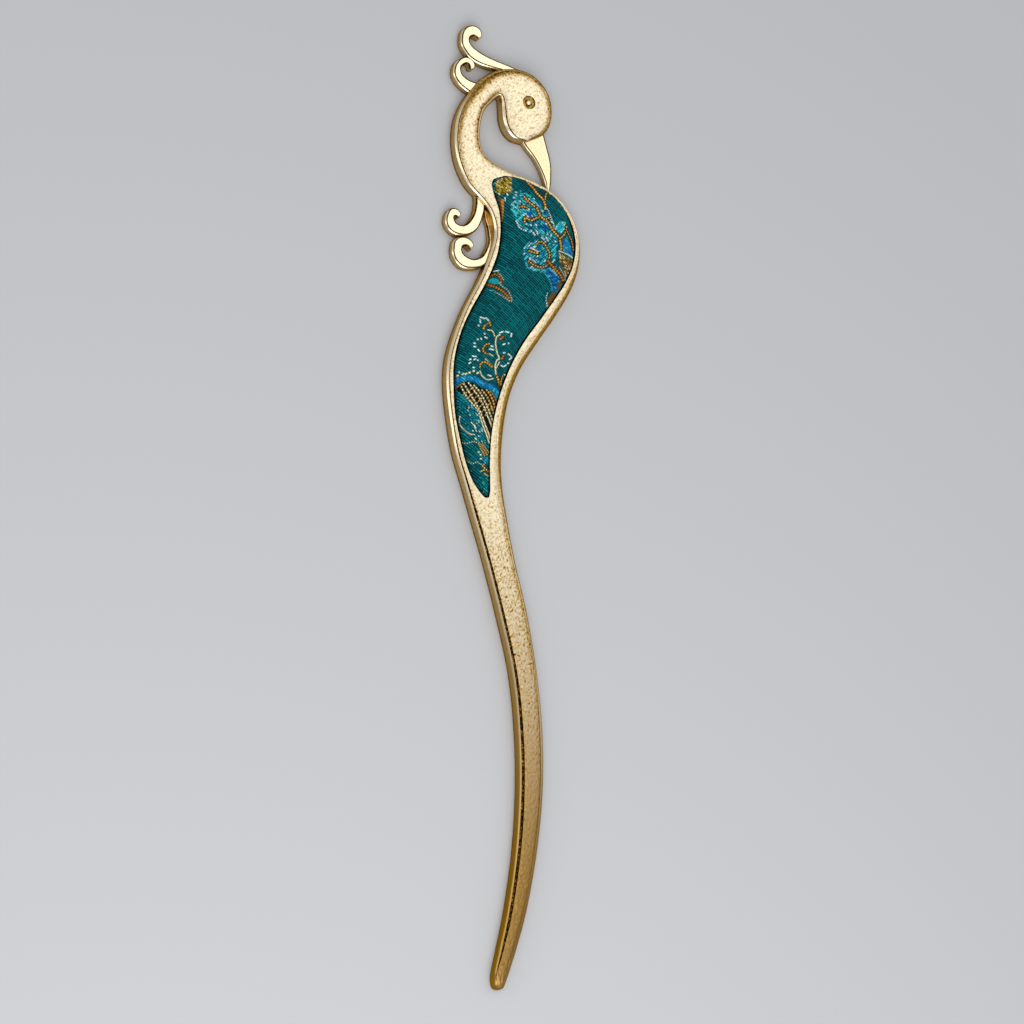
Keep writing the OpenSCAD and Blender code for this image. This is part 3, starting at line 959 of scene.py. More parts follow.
# %% Lay the fine panel
def finer(grid):
    """A grid with one more row and column between every two, on smooth curves."""
    for _ in range(2):
        flat = smooth(grid.reshape(len(grid), -1), 2)
        grid = flat.reshape(-1, grid.shape[1], grid.shape[2]).swapaxes(0, 1)
    return grid


panel = laid_grid("brocade", finer(panel_places), finer(profiles[:, :, 2:4]))
pick(panel)
bpy.ops.object.shade_smooth_by_angle(angle=math.radians(50))
print("panel faces:", len(panel.data.polygons))


# %% [markdown]
# ## The woven picture
#
# Brocade has its picture woven in: extra threads of gold, cream and light blue lie on the teal ground and
# float over it in short stitches. An image would be quicker to lay on, but it is a second file that has to
# travel with the mesh. Here each point of the fine grid gets the colour of the thread that passes over it,
# and a colour attribute called woven keeps it. The motifs are common ones on such cloth: branches, leaves,
# a flowering plant and a striped hill. They are painted with three brushes. A thread is a line with soft
# edges, and its beads are the stitches that show where it dips under the ground. A patch fills an outline.
# Flecks scatter short stitches of mixed colours in slanting rows, with a little chance in them, from a seed
# that stays the same.

# %% Colours of the threads
THREADS = {
    "gold": "#ecbc62", "orange": "#c8862c", "rust": "#9c561e", "brown": "#6a4a20", "olive": "#8f7f1c",
    "cream": "#f2e6b4", "white": "#e8fbf4", "cyan": "#4fd0d2", "sea": "#1ca8a6", "sky": "#1c90cc",
    "blue": "#0a5f9c", "black": "#04100c", "deep": "#004048",
}


def linear(colour):
    """An sRGB hex colour as linear red, green, blue and alpha."""
    parts = [int(colour[i:i + 2], 16) / 255 for i in (1, 3, 5)]
    return [v / 12.92 if v <= 0.04045 else ((v + 0.055) / 1.055) ** 2.4 for v in parts] + [1]


# %% Start the picture
GROUND = "#0a6a6c"
cloth_places = vertex_places(panel)
seen = seen_at(cloth_places)
picture = np.tile(linear(GROUND), (len(seen), 1))
picture[:, 3] = 0
luck = np.random.RandomState(4)
print("points to paint:", len(picture))


# %% Find the points near a line or inside one
def near_to(line, reach):
    """The cloth's points close to a drawn line, their distance from it, and how far along it they are."""
    line = np.array(line, float)
    low, high = line.min(0) - reach, line.max(0) + reach
    chosen = np.nonzero(((seen >= low) & (seen <= high)).all(axis=1))[0]
    points = seen[chosen]
    gap = np.full(len(chosen), reach + 9.0)
    along = np.zeros(len(chosen))
    walked = 0
    for a, b in zip(line[:-1], line[1:]):
        way = b - a
        length = np.linalg.norm(way)
        share = np.clip(((points - a) @ way) / length ** 2, 0, 1)
        away = np.linalg.norm(points - a - share[:, None] * way, axis=1)
        closer = away < gap
        gap[closer] = away[closer]
        along[closer] = walked + share[closer] * length
        walked += length
    return chosen, gap, along


def inside_of(line, points):
    """Whether points lie inside a closed line, found by how often a ray from each crosses it."""
    inside = np.zeros(len(points), bool)
    for a, b in zip(line[:-1], line[1:]):
        if a[1] != b[1]:
            crosses = (a[1] > points[:, 1]) != (b[1] > points[:, 1])
            inside ^= crosses & (points[:, 0] < a[0] + (points[:, 1] - a[1]) * (b[0] - a[0]) / (b[1] - a[1]))
    return inside


# %% Paint with thread
# A line of thread and a patch have soft edges this wide, in pixels. Between two stitches, a little of the
# thread still shows.
THREAD_SOFT = 0.6
PATCH_SOFT = 0.8
LEAST_STITCH = 0.12


def dye(chosen, colour, share):
    """Mixes one colour of thread into the picture."""
    share = np.clip(share, 0, 1)[:, None]
    picture[chosen, :3] += (np.array(linear(THREADS[colour])[:3]) - picture[chosen, :3]) * share
    picture[chosen, 3] = np.maximum(picture[chosen, 3], share[:, 0])


def thread(colour, width, line, beads=0):
    """Paints one line of thread, in pixels of the photograph. Beads give the spacing of its stitches."""
    if len(line) > 2:
        line = smooth(line, 4)
    chosen, gap, along = near_to(line, width)
    share = (width / 2 - gap) / THREAD_SOFT + 0.5
    if beads:
        share = share * np.clip(0.65 + 1.1 * np.cos(along / beads * 2 * math.pi), LEAST_STITCH, 1)
    dye(chosen, colour, share)


def patch(colour, corners, strength=1):
    """Paints a patch inside these corners."""
    line = np.array(corners + corners[:1], float)
    chosen, gap, _ = near_to(line, 1)
    inside = inside_of(line, seen[chosen])
    dye(chosen, colour, strength * (np.where(inside, gap, -gap) / PATCH_SOFT + 0.5))


# %% Scatter stitches and draw branches
def flecks(colours, corners, spacing, length, width, slope):
    """Scatters short stitches of mixed colours inside a patch, in slanting rows."""
    line = np.array(corners + corners[:1], float)
    centre = line[:-1].mean(0)
    reach = np.linalg.norm(line[:-1] - centre, axis=1).max()
    way = np.array([math.cos(slope), math.sin(slope)])
    side = np.array([-way[1], way[0]])
    count = int(reach / spacing) + 1
    for i in range(-count, count + 1):
        for j in range(-count, count + 1):
            jitter = luck.uniform(-0.3, 0.3, 2) * spacing
            along_row = (i + 0.5 * (j % 2)) * spacing * 1.15 + jitter[0]
            spot = centre + way * along_row + side * (j * spacing + jitter[1])
            colour = colours[luck.randint(len(colours))]
            size = length * luck.uniform(0.6, 1.3)
            if inside_of(line, spot[None, :])[0]:
                thread(colour, width, [spot - way * size / 2, spot + way * size / 2])


def branch(width, base, light, line, beads=2.7):
    """Paints a branch: a dark outline, a broken body of thread and a row of bright stitches along it."""
    thread("black", width + 1.8, line)
    thread(base, width, line, beads)
    thread(light, width * 0.5, line, beads)


# %% [markdown]
# ## The motifs
#
# The picture is painted from the back to the front: first the patches of leaf and ground, then branches
# with their dark outline, and last the bright single stitches. All places are pixels of the photograph,
# listed one by one, and the camera's place turns them into places on the cloth.

# %% Paint the ground patches
DOWN_RIGHT = math.radians(40)
patch("olive", [(495.5, 182), (500, 179), (506, 177), (511.8, 177), (511.8, 192.5), (505, 193.5),
    (500, 196), (496, 193)])
flecks(["gold", "cream", "olive", "black"],
    [(495.5, 182), (500, 178), (512, 177), (512, 193), (500, 196), (496, 193)], 1.9, 1.2, 0.9, DOWN_RIGHT)
flecks(["cyan", "blue", "white"], [(491, 185), (495, 181), (496.5, 192), (494.5, 194)], 2.2, 1.2, 1,
    DOWN_RIGHT)
patch("orange",
    [(499.5, 198), (504, 199.5), (504, 206), (503.6, 213), (502.6, 222), (501.4, 222), (500.6, 208)])
patch("brown", [(497.5, 196), (501, 199), (502, 208), (502, 222), (501, 222), (499.6, 206)])

UPPER_FAN = [(513, 192), (520, 190.5), (531, 195), (540, 204), (547, 212), (553, 222), (557, 232),
    (560, 241), (557, 247), (546, 243), (538, 236), (528, 233), (518, 227), (512.5, 215), (511, 203)]
patch("deep", UPPER_FAN, 0.6)
flecks(["cyan", "sea", "cyan", "sky", "sea", "blue", "white"], UPPER_FAN, 2, 1.2, 1.1, DOWN_RIGHT)
patch("blue", [(526, 211.5), (533, 212), (533, 215.5), (527, 215.5)], 0.8)
patch("blue", [(538, 200), (541.5, 201), (541, 206), (538.5, 205)], 0.8)
LOWER_FAN = [(528, 241), (537, 238), (547, 242), (555, 245), (557, 252), (554, 262), (558, 272), (548, 272),
    (536, 271), (527, 268), (523.5, 258), (523, 248)]
patch("deep", LOWER_FAN, 0.6)
flecks(["cyan", "sea", "cyan", "sky", "sea", "blue", "white"], LOWER_FAN, 2, 1.2, 1.1, -DOWN_RIGHT)
patch("sea", [(555, 226.5), (559, 222.5), (566, 222.5), (564, 230.5), (561, 234), (557, 231)], 0.8)
flecks(["cyan", "white", "sky"],
    [(555, 226.5), (559, 222.5), (566, 222.5), (564, 230.5), (561, 234), (557, 231)], 2, 1.3, 0.9,
    -DOWN_RIGHT)
BLUE_LEAF = [(563.5, 240), (567, 237), (570, 243.5), (572.5, 251), (572, 257.5), (565, 252.5),
    (561.5, 249.5)]
patch("blue", BLUE_LEAF)
flecks(["sky", "cyan", "sky"], BLUE_LEAF, 2, 1.2, 0.9, DOWN_RIGHT)
OLIVE_LEAF = [(558, 253), (562.5, 254.5), (573, 261), (572, 268), (568, 275), (566, 278), (563.5, 270),
    (560.5, 264)]
patch("brown", OLIVE_LEAF)
flecks(["gold", "olive", "cream", "black"], OLIVE_LEAF, 1.9, 1.2, 0.8, DOWN_RIGHT)
BLUE_TAIL = [(543.5, 270), (550, 268.5), (558.5, 276.5), (560.5, 281), (557, 292), (552.5, 291), (551, 282),
    (546.5, 275.5)]
patch("blue", BLUE_TAIL)
flecks(["sky", "cyan", "blue", "black"], BLUE_TAIL, 2.1, 1.6, 0.9, DOWN_RIGHT)
patch("brown", [(558, 282), (563, 281), (560, 288), (556.5, 292.5)])
patch("brown", [(552, 292), (557, 292.5), (551, 303), (547, 309), (546, 303), (549, 297)])
patch("sea", [(488, 279), (493, 277.5), (499, 279.5), (499, 284), (492, 284.5), (487, 283)])
patch("sky", [(493, 280.5), (496.5, 280.5), (496, 283), (493.5, 283)])

# %% Paint the branches and the twigs
branch(2.2, "orange", "gold", [(525.5, 179.5), (528.5, 183.5), (532.5, 187.5), (536, 192), (539.5, 195.5),
    (543, 198.5), (545, 202.5), (546, 207.5)])
branch(1.6, "olive", "gold", [(548, 192), (546, 194.5), (545.5, 199)])
branch(2, "orange", "gold", [(524.5, 197), (528, 201), (530.5, 203), (534.5, 205.5), (538, 208.5)])
branch(1.8, "olive", "gold", [(519.5, 207), (523, 206.5), (527, 207.5)])
branch(2, "orange", "gold",
    [(524.5, 221.5), (525, 218), (529, 219.5), (532.5, 220.5), (535, 218.5), (541, 217)])
branch(2.2, "orange", "gold", [(537.5, 208), (539.5, 213), (541.5, 217), (547.5, 221.5), (552.5, 230),
    (558.5, 237), (560.5, 243), (561, 249.5)])
branch(1.5, "rust", "cream", [(546.5, 219), (550.5, 217)])
branch(1.8, "orange", "gold", [(560, 238.5), (563, 236), (565.5, 232), (566.5, 226.5)])
branch(1.4, "brown", "gold", [(566, 229.5), (569.5, 236.5), (572, 243), (573.2, 251)])
branch(1.8, "olive", "gold",
    [(537, 244), (539, 242), (542, 242), (544.5, 244.5), (547, 248), (549, 252), (549.5, 256), (548, 261)])
branch(2.4, "brown", "gold", [(529, 251), (533.5, 252.5), (538, 253.5)])
branch(1.8, "rust", "gold",
    [(528.5, 261.5), (531.5, 263.5), (535, 265.5), (539, 267), (543, 267), (547, 265.5), (548.5, 262)])
branch(2.8, "rust", "orange",
    [(548, 261), (551.5, 265.5), (555, 269), (558.5, 272.5), (561, 276.5), (563, 281)])
branch(2.2, "rust", "orange", [(490, 277), (494.5, 274.5), (498, 275.5), (500.5, 279), (501, 282.5)])
branch(2.6, "rust", "orange",
    [(486, 284.5), (492.5, 286), (497, 288), (501, 290), (504.5, 293), (507.5, 296), (510, 299)])

# %% Paint the bright stitches
thread("cream", 1, [(559.5, 267), (562, 272), (564.5, 276.5), (565, 281)], 2)
thread("cream", 1, [(553, 270), (557, 275.5)], 2)
thread("cream", 1.1, [(530.5, 248), (534, 249.5), (538, 252)])
thread("cream", 1, [(530.5, 259), (534, 261), (536, 263.5)], 2)
thread("cream", 1.1, [(559, 251), (563, 252.5), (569, 255.5), (572.5, 258)])
thread("cyan", 1, [(521, 195.5), (523, 193.5), (526.5, 194), (530.5, 196.5)], 2.2)
thread("cyan", 1, [(532, 200), (536, 202), (539, 205.5), (541.5, 208.5)], 2.2)
thread("cyan", 1.2, [(518.5, 203.5), (517.5, 206), (518, 209), (521, 210), (525.5, 210), (529, 211)], 2.2)
thread("cyan", 1.2, [(513, 202.5), (514, 206.5), (513, 209.5), (516, 212.5)])
thread("cyan", 1.2, [(511, 209), (514, 212.5), (516.5, 216)])
thread("cyan", 1.2, [(524, 213), (522, 215.5), (519.5, 218.5), (516, 221)])
thread("white", 1.2, [(516, 221), (517.5, 224), (519, 227), (521.5, 229), (526, 231)], 2.4)
thread("white", 1.1, [(545.5, 208.5), (548, 209.5), (549.5, 213), (551.5, 218.5), (554.5, 226.5)], 2.2)
thread("cyan", 1.1, [(556, 229), (558, 225), (560, 222), (566, 222.5)])
thread("white", 1.2, [(505, 197.5), (505.3, 200.5)])
thread("white", 1.3, [(507, 194), (507.8, 195.2)])
thread("cyan", 1.1, [(551.5, 251.5), (555, 247.5), (557, 245.5)])
thread("cyan", 1.1, [(552.5, 256.5), (556, 251.5)])
thread("cyan", 1.1, [(529, 242.5), (526, 246), (524, 249)], 2.2)
thread("cyan", 1.1, [(524.5, 259.5), (528, 256.5)])
thread("cyan", 1.1, [(525.5, 263), (527, 267), (533, 269.5), (539, 270), (541, 273)], 2.2)
thread("cyan", 1.1, [(543, 270.5), (547.5, 277.5), (550.5, 283), (552, 290)], 2.2)
thread("white", 1.1, [(547.5, 293), (546, 298.5), (546.5, 303), (547, 306.5)], 2.6)
thread("white", 1.1, [(493.5, 271.5), (499, 270.5)])
thread("cream", 1.1, [(498.5, 272.5), (501.5, 276), (503.5, 279.5)], 2.2)
thread("cream", 1.1, [(495, 292), (499.5, 294.5), (504.5, 297.5), (508.5, 300.5), (511.5, 301.5)], 2.4)
thread("cream", 1.1, [(499.5, 283), (502, 286), (507.5, 290), (510.5, 295.5), (512, 300)], 2.4)
thread("cyan", 1, [(489.5, 290.5), (493.5, 290.5)])

# %% Paint the flowering plant
WHITE_MARKS = (((480.5, 317), (484.5, 318.5)), ((486, 318), (489, 321)), ((480, 319.5), (480.5, 322.5)),
    ((478.4, 325.2), (479, 325.8)), ((499.5, 333), (503, 331.5)), ((505.5, 331.5), (509, 332.5)),
    ((511.5, 333.5), (511, 336.5)), ((508.4, 343), (508.8, 343.6)), ((503, 344.5), (505, 344)),
    ((489.5, 349), (493.5, 349.8)), ((491, 346), (493, 346.5)), ((477.4, 339.2), (478.2, 339.8)),
    ((481, 338.2), (481.4, 339.2)), ((474, 343), (475.5, 343.4)), ((473.8, 346.4), (475.8, 346.8)),
    ((478, 349.5), (479.4, 351)), ((472.5, 356), (476, 356.5)), ((469.6, 359.8), (471, 359)),
    ((469, 363.4), (470.4, 362.4)), ((474, 359.6), (475.4, 359)), ((473, 367.5), (474.4, 367.5)),
    ((503.5, 352.8), (504.8, 352.8)), ((508, 354.2), (509.2, 354.6)), ((507.4, 363.4), (508.6, 363)),
    ((503.2, 374.9), (504.4, 374.9)), ((488, 375), (491, 376)), ((484.2, 333.4), (484.8, 334)),
    ((485, 337), (487, 338)), ((477.2, 360), (478, 360.2)), ((459, 371.8), (459.6, 372.4)))
for a, b in WHITE_MARKS:
    thread("white", 1.5, [a, b])
thread("white", 1.3, [(510, 355.5), (511.5, 357.5), (509, 359.5)])
thread("white", 1.3, [(501, 365.5), (503.5, 366.5), (506, 365)])
thread("cream", 1.2, [(487.5, 330), (491.5, 330.5), (493.5, 333), (494.5, 336)])
thread("cream", 1.4, [(500, 334.7), (496.5, 337), (495.5, 342), (496, 347), (497, 352.5), (498.5, 356),
    (499, 359), (497, 360), (495.5, 364), (495, 367.5), (495.5, 371), (496, 375)])
thread("cream", 1.2, [(499.5, 362), (497.5, 365.5), (496, 368)])
thread("cream", 1.2, [(485.5, 359), (490, 363.5), (494, 367.5)])
thread("cream", 1.2, [(480, 371), (481.5, 375), (484.5, 378), (487, 379.5), (490, 379.5), (493, 378.5)])
thread("cream", 1.2, [(486, 353.5), (489.5, 354), (493, 356)])
branch(2.2, "orange", "gold", [(483.5, 328.5), (484.3, 326.5), (485, 325.5)])
branch(1.6, "olive", "gold", [(487, 324), (490, 323), (490.5, 326)])
branch(3, "rust", "orange", [(500.8, 338.8), (502.4, 337.4)])
branch(2.6, "rust", "orange", [(502, 358.5), (503, 356.5)])
branch(1.6, "orange", "gold", [(489, 343.8), (485.5, 344.8), (483, 348.5), (484, 352), (487, 354)])
branch(1.8, "orange", "gold",
    [(480, 367), (480.5, 364), (483.5, 362), (487, 363), (490, 365.5), (492.5, 367.5)])
branch(3, "brown", "gold", [(497, 377), (498.5, 381), (499.5, 385)])
branch(1.5, "olive", "gold", [(502.5, 376), (501, 380.5), (500.5, 385.5)])
for x, y in ((466, 373.8), (469.5, 372.6), (473.6, 371), (477.6, 373), (463, 374.2), (457.5, 375.8)):
    thread("cream", 2, [(x - 0.4, y + 0.2), (x + 0.4, y - 0.2)])

# %% Paint the striped hill and the swirl below it
HILL = [(455.5, 388), (460, 384), (466, 381.5), (474, 383), (482, 388), (488, 390), (493, 394),
    (497.5, 402), (497, 412), (495.5, 425), (492.5, 443), (489, 444.5), (484, 431), (479, 415), (474, 406),
    (467, 400), (459, 396)]
patch("black", HILL)
thread("blue", 5.6, [(454.5, 383.5), (457.5, 380.5), (462.5, 378.8), (467, 378), (473, 378), (477, 380.2),
    (482, 383), (487, 385.5), (492, 387.2), (495.5, 391), (498.5, 396)])
flecks(["sky", "cyan", "sea", "sky"], [(454, 381), (462, 376), (474, 376), (487, 383), (495, 388),
    (500, 395), (497, 397), (490, 388.5), (480, 384.5), (470, 380.5), (460, 381.5), (455, 386)], 2, 1.3, 1,
    DOWN_RIGHT)
STRIPES = [
    ("orange", [(490.5, 391.5), (493.5, 395.5), (496, 401), (496.8, 405.5)]),
    ("gold", [(486.5, 390), (490.5, 395.5), (493.5, 403), (495.3, 412)]),
    ("gold", [(482, 390), (487, 397), (490.5, 404.5), (493.5, 413.5), (494.8, 420)]),
    ("cream", [(474, 385.5), (480, 392.5), (484.5, 400.5), (488.5, 410), (492, 419.5), (492.8, 427)]),
    ("cream", [(468.5, 383), (474, 390), (480, 399), (484, 407), (487, 415), (490.5, 423.5), (492, 430.5)]),
    ("cream", [(464, 384), (468.5, 391.5), (474, 400.5), (479, 409.5), (482.5, 417.5), (485.5, 426),
               (488.5, 434), (490.5, 441)]),
    ("cream", [(461.5, 387), (465.5, 395), (471, 402), (476.5, 408.5), (480, 416.5), (483, 426),
               (486.5, 435), (489, 443)]),
]
for colour, line in STRIPES:
    thread(colour, 1.4, line[:5], 3.2)
    if len(line) > 5:
        thread(colour, 1.1, line[4:])
for start in range(7):
    thread("gold", 0.9,
        [(463.5 + 3.6 * start, 395 + 3.4 * start), (471.5 + 3.4 * start, 388.5 + 3.2 * start)], 3.2)
thread("orange", 1.3, [(456, 388.5), (460, 385), (464, 382.8)], 2)
for start in range(4):
    thread("sea", 1, [(457 + 2.6 * start, 391 + 2 * start), (462 + 2.6 * start, 399 + 2.2 * start)], 2.4)
branch(2, "rust", "orange", [(468, 410), (468.6, 408.6)])
thread("cream", 1.1, [(460, 416.5), (459.3, 422), (461.5, 427), (465.5, 431), (469.5, 434), (474.5, 434.5)])
thread("gold", 0.8, [(462.5, 427.5), (466, 431.2), (470, 433.8)])
thread("cream", 1, [(471, 422), (474.5, 426)])
thread("white", 1.4, [(472.4, 430.8), (473, 431)])
SWIRL = [(470, 403), (476, 408), (480, 420), (484, 436), (489, 448), (486, 452), (480, 444), (474, 440),
    (476, 430), (470, 418), (466, 408)]
flecks(["sky", "cyan", "sea", "blue", "white"], SWIRL, 2.4, 1.4, 1, DOWN_RIGHT)
flecks(["sea", "sky", "blue"],
    [(457, 398), (466, 404), (468, 418), (474, 432), (466, 438), (460, 428), (457, 410)], 3, 1.6, 0.9,
    DOWN_RIGHT)
thread("cream", 1.1,
    [(462.5, 442.5), (466.5, 443.3), (470, 442.5), (473.5, 441.5), (477.5, 442.8), (480, 443.8)], 2.4)
for line in ([(479, 445), (484.5, 455.5)], [(480.8, 444.4), (487, 454.8)], [(482.6, 444), (489.4, 453.4)]):
    thread("black", 2, line)
    thread("gold", 1.1, line, 2)
for x, y in ((478.7, 452), (480.7, 454.7), (480.7, 458.7), (475.9, 438.8), (475, 427.4)):
    thread("cream", 1.7, [(x - 0.3, y), (x + 0.3, y + 0.2)])
flecks(["cyan", "sky"], [(482, 457), (490, 457), (490, 464.5), (483, 464)], 2, 1.3, 1, DOWN_RIGHT)
thread("cream", 1, [(467, 460.5), (471, 463), (474.5, 463.5), (476.7, 461.5), (480, 464), (485, 464.5)],
    2.4)
branch(1.6, "orange", "gold", [(482.5, 466), (485, 468.5), (488, 471.5)])
thread("gold", 1.1, [(480.5, 471.5), (484, 470)])
thread("gold", 1.1, [(484.5, 473.5), (488, 476)])
flecks(["sea", "cyan"], [(480, 477), (489, 477), (488, 490), (484, 494), (481, 488)], 2.8, 1.2, 1,
    DOWN_RIGHT)
print("points with thread on them:", int((picture[:, 3] > 0.5).sum()), "of", len(picture))

# %% [markdown]
# ## Raised stitches
#
# The extra threads lie on top of the ground, so they stand up from it by about their own thickness. The
# points under them are moved out along their normals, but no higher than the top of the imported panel.

# %% Store the picture on the cloth and raise it
THREAD_RELIEF = 0.05 * MM
TOP_OF_SOLID = 4.4 * MM
woven = panel.data.color_attributes.new("woven", "FLOAT_COLOR", "POINT")
woven.data.foreach_set("color", picture.ravel())
normals = np.zeros(len(panel.data.vertices) * 3)
panel.data.vertices.foreach_get("normal", normals)
cloth_places += normals.reshape(-1, 3) * (picture[:, 3:4] * THREAD_RELIEF)
cloth_places[:, 2] = np.minimum(cloth_places[:, 2], TOP_OF_SOLID)
panel.data.vertices.foreach_set("co", cloth_places.ravel())
print("top of the panel in mm:", round(float(cloth_places[:, 2].max() / MM), 2))

# %% [markdown]
# ## Materials
#
# The stick has two finishes: plated metal with an antique wash, and woven silk. Shader nodes make both.
# They read places in metres on the piece itself, so each pattern has a real size and stays where it is when
# the camera moves.


# %% A helper for materials
def add(material, kind, settings=(), links=()):
    """Adds a node with its settings. Its links lead from outputs of older nodes to its own sockets."""
    node = material.node_tree.nodes.new(kind)
    for name, value in dict(settings).items():
        if isinstance(name, str) and hasattr(node, name):
            setattr(node, name, value)
        else:
            node.inputs[name].default_value = value
    for name, output in dict(links).items():
        material.node_tree.links.new(node.inputs[name], output)
    return node


def new_material(name):
    """An empty node material."""
    material = bpy.data.materials.new(name)
    material.use_nodes = True
    material.node_tree.nodes.clear()
    return material


# %% [markdown]
# ## The plated casting
#
# The stick is cast in zinc and plated with pale gold. It is then washed with brown lacquer and wiped, so
# the brown stays in the dark line, low on the walls and between the grains. On the walls, on edges turned
# from the light and in the line on the left of the shaft, painted shade and a painted dark reflection add to
# that brown. To the eye, the polished bands mirror the studio sharply, the sandy face spreads the light, and
# amber shows where the wash is thin. The gold is painted pale at the head and browner towards the tip, as
# painted light. The marks on the mesh say where the wash, the painted shade and the sand are.

# %% Mix the gold and the sand grain
# From 75 mm below the middle to 10 mm above it, the gold is painted paler: painted light, with more light
# on the head than on the tip. The Mix node has hidden sockets for other kinds of value, so its colour sockets
# are given by number. The grain: 2600 spots to the metre are 0.4 mm across. Casting sand is about half that,
# and this is as fine as shows.
MIX_A, MIX_B, MIX_OUT = 6, 7, 2
TIP_GOLD_PAINTED_DARKER = linear("#8e7044")
HEAD_GOLD_PAINTED_LIGHTER = linear("#efe3c3")
plated = new_material("gold_plated_zinc_sand_cast")
marks = add(plated, "ShaderNodeUVMap", {"uv_map": "marks"})
marked = add(plated, "ShaderNodeSeparateXYZ", links={"Vector": marks.outputs["UV"]})
at = add(plated, "ShaderNodeTexCoord")
place_on = add(plated, "ShaderNodeSeparateXYZ", links={"Vector": at.outputs["Object"]})
painted_light_towards_head = add(plated, "ShaderNodeMapRange",
    {"From Min": -0.075, "From Max": 0.01, "interpolation_type": "SMOOTHSTEP"},
    {"Value": place_on.outputs["Y"]})
gold = add(plated, "ShaderNodeMix",
    {"data_type": "RGBA", MIX_A: TIP_GOLD_PAINTED_DARKER, MIX_B: HEAD_GOLD_PAINTED_LIGHTER},
    {0: painted_light_towards_head.outputs[0]})
grains = add(plated, "ShaderNodeTexNoise",
    {"Scale": 2600, "Detail": 2, "Roughness": 0.55, "Distortion": 0.6}, {"Vector": at.outputs["Object"]})
specks = add(plated, "ShaderNodeMapRange", {"From Min": 0.54, "From Max": 0.68},
    {"Value": grains.outputs["Fac"]})
speckled = add(plated, "ShaderNodeMath", {"operation": "MULTIPLY", 1: 0.35}, {0: specks.outputs[0]})
speck_here = add(plated, "ShaderNodeMath", {"operation": "MULTIPLY"},
    {0: speckled.outputs[0], 1: marked.outputs["Y"]})
uneven = add(plated, "ShaderNodeMapRange",
    {"From Min": 0.3, "From Max": 0.7, "To Min": 0.65, "To Max": 1.35}, {"Value": grains.outputs["Fac"]})
print("nodes for the gold:", len(plated.node_tree.nodes))

# %% Wash it with brown and painted shade
# Up to half of the wash and painted shade turns gold to amber, and the rest turns amber to dark brown.
AMBER_WASH_AND_SHADE = linear("#b0883c")
DARK_WASH_AND_SHADE = linear("#1e0c02")
wash_and_shade_here = add(plated, "ShaderNodeMath", {"operation": "MULTIPLY"},
    {0: uneven.outputs[0], 1: marked.outputs["X"]})
brown = add(plated, "ShaderNodeMath", {"operation": "ADD", "use_clamp": True},
    {0: wash_and_shade_here.outputs[0], 1: speck_here.outputs[0]})
amber_share = add(plated, "ShaderNodeMapRange", {"From Max": 0.5}, {"Value": brown.outputs[0]})
black_share = add(plated, "ShaderNodeMapRange", {"From Min": 0.5}, {"Value": brown.outputs[0]})
ambered = add(plated, "ShaderNodeMix", {"data_type": "RGBA", MIX_B: AMBER_WASH_AND_SHADE},
    {0: amber_share.outputs[0], MIX_A: gold.outputs[MIX_OUT]})
wash_and_shade_colour = add(plated, "ShaderNodeMix", {"data_type": "RGBA", MIX_B: DARK_WASH_AND_SHADE},
    {0: black_share.outputs[0], MIX_A: ambered.outputs[MIX_OUT]})

# %% Give the metal its gloss
# Polished metal has a roughness of about 0.2, and sand cast metal of 0.4. The bump is 0.1 mm high.
sandy = add(plated, "ShaderNodeMath", {"operation": "MULTIPLY"},
    {0: grains.outputs["Fac"], 1: marked.outputs["Y"]})
bump = add(plated, "ShaderNodeBump", {"Strength": 0.5, "Distance": 0.1 * MM}, {"Height": sandy.outputs[0]})
rough = add(plated, "ShaderNodeMapRange", {"To Min": 0.22, "To Max": 0.42}, {"Value": marked.outputs["Y"]})
metal = add(plated, "ShaderNodeBsdfPrincipled", {"Metallic": 1, "Specular Tint": linear("#f0c884")},
    {"Base Color": wash_and_shade_colour.outputs[MIX_OUT], "Roughness": rough.outputs[0], "Normal": bump.outputs[0]})
add(plated, "ShaderNodeOutputMaterial", links={"Surface": metal.outputs[0]})
body.data.materials.clear()
body.data.materials.append(plated)
print("nodes of the casting:", len(plated.node_tree.nodes))

# %% [markdown]
# ## The silk
#
# The ground of the brocade is a twill: each float of teal silk runs over several threads and starts further
# on in the next row, which gives slanting ribs. A brick pattern, turned by 40 degrees, is laid out in the
# same way. The floats are light, with dark gaps between them. To the eye, fine silk that is closely woven
# is dull, and only the colour of its threads changes. Real floats are about 0.2 mm wide and 0.9 mm long.
# They are drawn twice as coarse, 0.4 mm wide and 2.2 mm long, so that they show in the render.

# %% Weave the twill
# The Mapping node turns metres to millimetres, so these are in millimetres too.
FLOAT_LENGTH = 2.2
FLOAT_WIDTH = 0.4
FLOAT_GAP = 0.12
brocade = new_material("silk_brocade_woven")
on_cloth = add(brocade, "ShaderNodeTexCoord")
turned_twill = add(brocade, "ShaderNodeMapping",
    {"Rotation": (0, 0, DOWN_RIGHT), "Scale": (1 / MM, 1 / MM, 0)}, {"Vector": on_cloth.outputs["Object"]})
twill = add(brocade, "ShaderNodeTexBrick", {"offset": 0.37, "Color1": linear("#007074"),
    "Color2": linear("#004a50"), "Mortar": linear("#00181c"), "Scale": 1, "Mortar Size": FLOAT_GAP,
    "Mortar Smooth": 0.8, "Brick Width": FLOAT_LENGTH, "Row Height": FLOAT_WIDTH},
    {"Vector": turned_twill.outputs["Vector"]})

